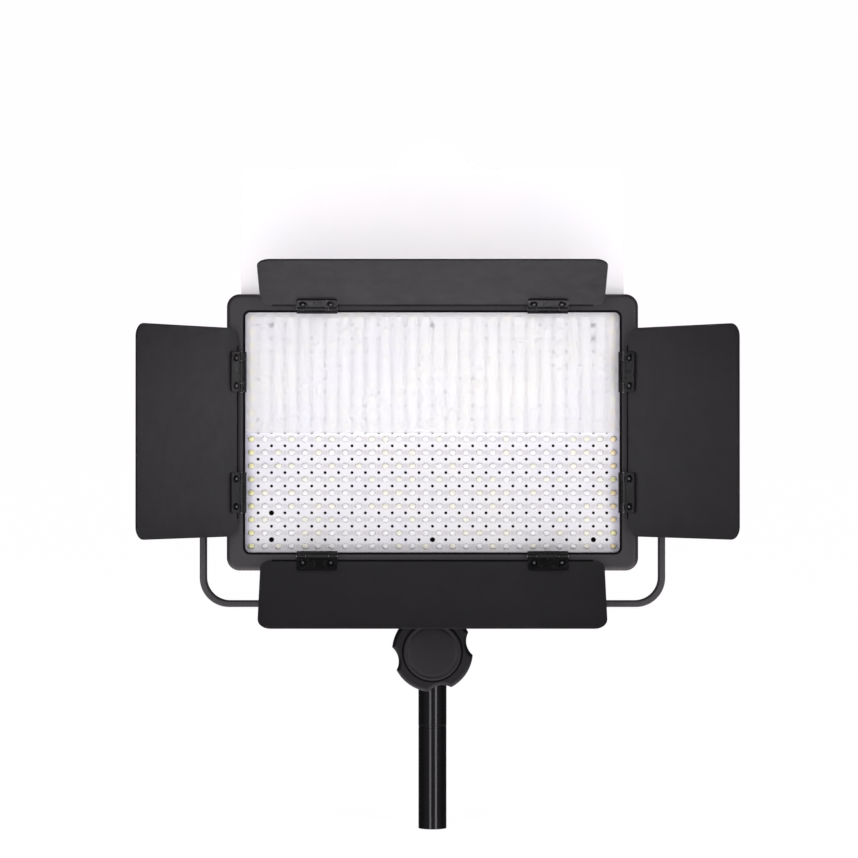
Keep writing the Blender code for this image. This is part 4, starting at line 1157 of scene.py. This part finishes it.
def make_battery_details(name, side):
    """Three brass contacts, two plate screws, and ridges on the latch."""
    plate_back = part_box(f"battery_plate_{name}")[1].y
    contacts = bmesh.new()
    for number in (-1, 0, 1):
        low = (number * 0.005 - 0.0005, -0.0052, plate_back - 0.0016)
        high = (number * 0.005 + 0.0005, 0.0052, plate_back - 0.0004)
        add_box(contacts, low, high, upright(side * BATTERY_X, 0.010), 0.0002)
    piece(f"battery_contacts_{name}", contacts, [BRASS], "head", "brass")
    screws = bmesh.new()
    for z in (-0.0315, 0.0315):
        head = [(0, 0.0001), (0.0006, 0.0001), (0.0007, 0.0008), (0.0015, 0.0007), (0.0021, 0.0003)]
        head += [(0.0022, -0.0003), (0, -0.0003)]
        add_turned(screws, head, in_head(side * BATTERY_X, plate_back, z, "+Y"), 28)
    piece(f"battery_screws_{name}", screws, [BARE_STEEL], "head", "bare_steel")
    latch_low, latch_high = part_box(f"battery_latch_{name}")
    ridges = bmesh.new()
    middle = (latch_low.z + latch_high.z) / 2 - HEAD_Z
    for number in (-1, 0, 1):
        low = (-0.0048, number * 0.0018 - 0.0003, latch_high.y - 0.0002)
        high = (0.0048, number * 0.0018 + 0.0003, latch_high.y + 0.0004)
        add_box(ridges, low, high, upright(side * BATTERY_X, middle), 0.00015)
    body = f"battery_latch_{name}"
    piece(f"{body}_ridges", ridges, [BUTTON_PLASTIC], body, "button_plastic")


def refine_rest():
    """Materials and rounded edges for the CAD nodes that show as they are."""
    nodes = {
        "riser_spigot": (BLACKENED_STEEL, 0.0003),
        "stand_socket": (SOCKET_CASTING, 0.0005),
        "socket_bolt": (BARE_STEEL, 0.0003),
        "clamp_shoe": (BRASS, 0.0002),
        "clamp_screw": (BARE_STEEL, 0.0002),
        "rear_housing": (HOUSING_PAINT, 0.0004),
        "led_board": (WHITE_BOARD, 0.0002),
        "heat_spreader": (BARE_ALUMINIUM, 0.0002),
        "control_board": (CIRCUIT_BOARD, 0.0001),
        "display_window": (DISPLAY_GLASS, 0.0002),
        "control_panel": (PANEL_PLASTIC, 0.0002),
        "dc_socket": (PANEL_PLASTIC, 0.0002),
        "power_switch": (SWITCH_PLASTIC, 0.0003),
        "button_mode": (BUTTON_PLASTIC, 0.0002),
        "button_channel": (BUTTON_PLASTIC, 0.0002),
    }
    for name in SIDES:
        nodes[f"tilt_washer_{name}"] = (BARE_STEEL, 0.0002)
        nodes[f"battery_plate_{name}"] = (PANEL_PLASTIC, 0.0003)
        nodes[f"battery_latch_{name}"] = (BUTTON_PLASTIC, 0.0002)
    for node, (look, edge) in nodes.items():
        refine(node, look, edge)


# ---------------------------------------------------------------- studio


def make_floor():
    """A wide pale floor. It lights nothing, so that the black parts keep their contrast."""
    shape = bmesh.new()
    bmesh.ops.create_circle(shape, cap_ends=True, cap_tris=False, segments=96, radius=40)
    mesh = bpy.data.meshes.new("floor")
    shape.to_mesh(mesh)
    shape.free()
    floor = bpy.data.objects.new("floor", mesh)
    floor.location.z = CAD_BOUNDS[0].z - 0.0002
    bpy.context.scene.collection.objects.link(floor)
    look = Look("floor", (0.25, 0.25, 0.25), 0.9, specular_ior_level=0.0)
    look.shader.inputs["Emission Color"].default_value = (1, 0.985, 1, 1)
    look.shader.inputs["Emission Strength"].default_value = 0.95
    mesh.materials.append(look.material)
    floor.visible_glossy = False
    floor.visible_diffuse = False
    floor.visible_shadow = False


def make_world():
    """White behind all that is seen directly, brighter through the sheet, and a studio in reflections."""
    world = bpy.data.worlds.new("studio")
    world.use_nodes = True
    tree = world.node_tree
    path = add_node(tree, "ShaderNodeLightPath").outputs
    direction = add_node(tree, "ShaderNodeTexCoord").outputs["Generated"]
    parts = add_node(tree, "ShaderNodeSeparateXYZ", [(0, direction)]).outputs

    def arithmetic(operation, first, second):
        return add_node(tree, "ShaderNodeMath", [(0, first), (1, second)], operation=operation).outputs[0]

    def strength(usual, transmitted):
        links = [("Value", path["Is Transmission Ray"]), ("To Min", usual), ("To Max", transmitted)]
        return add_node(tree, "ShaderNodeMapRange", links).outputs["Result"]

    total = ROOM_LEAST
    for axis, start, end, most in ROOM_LIGHT:
        limits = {"From Min": start, "From Max": end, "To Min": 0.0, "To Max": most}
        links = [("Value", parts[axis]), *limits.items()]
        part = add_node(tree, "ShaderNodeMapRange", links, interpolation_type="SMOOTHSTEP")
        total = arithmetic("ADD", part.outputs["Result"], total)
    dimmed = arithmetic("MULTIPLY", total, strength(1.0, 0.45))
    room = add_node(tree, "ShaderNodeBackground", [("Color", STUDIO_TINT), ("Strength", dimmed)])
    seen = tree.nodes["Background"]
    seen.inputs["Color"].default_value = (1, 0.962, 1, 1)
    tree.links.new(strength(1.03, 1.26), seen.inputs["Strength"])
    behind = arithmetic("GREATER_THAN", parts["Y"], 0.0)
    through = arithmetic("MULTIPLY", path["Is Transmission Ray"], behind)
    direct = arithmetic("MAXIMUM", path["Is Camera Ray"], through)
    both = add_node(tree, "ShaderNodeMixShader", [(0, direct), (1, room.outputs[0]), (2, seen.outputs[0])])
    tree.links.new(both.outputs[0], tree.nodes["World Output"].inputs["Surface"])
    bpy.context.scene.world = world


def add_softbox(name, place, target, size, radiance):
    """An area light given by how bright its face looks."""
    data = bpy.data.lights.new(name, "AREA")
    data.shape = "RECTANGLE"
    data.size, data.size_y = size
    data.energy = radiance * math.pi * size[0] * size[1]
    data.color = STUDIO_TINT[:3]
    lamp = bpy.data.objects.new(name, data)
    lamp.location = place
    lamp.rotation_euler = (Vector(target) - Vector(place)).to_track_quat("-Z", "Y").to_euler()
    bpy.context.scene.collection.objects.link(lamp)


def make_lights():
    """Two tall softboxes in front, whose reflections run down the tube, and a softer one above."""
    middle = Vector((0, 0, HEAD_Z))
    distance = 3.4
    size = (0.85, 2.6)
    for name, degrees, radiance in (("left", -18, 4.4), ("right", 29, 5.2)):
        angle = math.radians(degrees)
        place = Vector((math.sin(angle), -math.cos(angle), 0)) * distance + Vector((0, 0, 0.45))
        add_softbox(f"softbox_{name}", place, middle, size, radiance)
    add_softbox("softbox_above", (0, -2.0, 2.4), middle, (1.6, 1.0), 1.6)


def make_camera():
    """Level with the lower half of the head, and far enough back for little perspective."""
    distance = 2.8
    picture_width = 0.698  # what the picture takes in at the front face
    data = bpy.data.cameras.new("camera")
    data.sensor_width = 36
    data.lens = data.sensor_width * distance / picture_width
    camera = bpy.data.objects.new("camera", data)
    camera.location = (0, -FRONT - distance, HEAD_Z - 0.017)
    aim = Vector((-0.0028, -FRONT, HEAD_Z + 0.0027))
    camera.rotation_euler = (aim - camera.location).to_track_quat("-Z", "Y").to_euler()
    bpy.context.scene.collection.objects.link(camera)
    bpy.context.scene.camera = camera


def main():
    make_camera()
    make_riser()
    make_sleeve()
    make_clamp_knob()
    make_clamp_cap()
    make_yoke()
    for name, side in SIDES.items():
        make_tilt_knob(f"tilt_knob_{name}", "+X" if side > 0 else "-X")
        make_battery_details(name, side)
    make_bezel()
    make_gasket()
    make_cover()
    make_pins()
    make_leds()
    make_diffuser()
    make_barn_doors()
    make_housing_screws()
    for name, x in DIALS.items():
        make_dial(name, x)
    make_display_marks()
    refine_rest()
    make_floor()
    make_world()
    make_lights()
    bpy.context.scene.view_settings.view_transform = "Standard"


main()
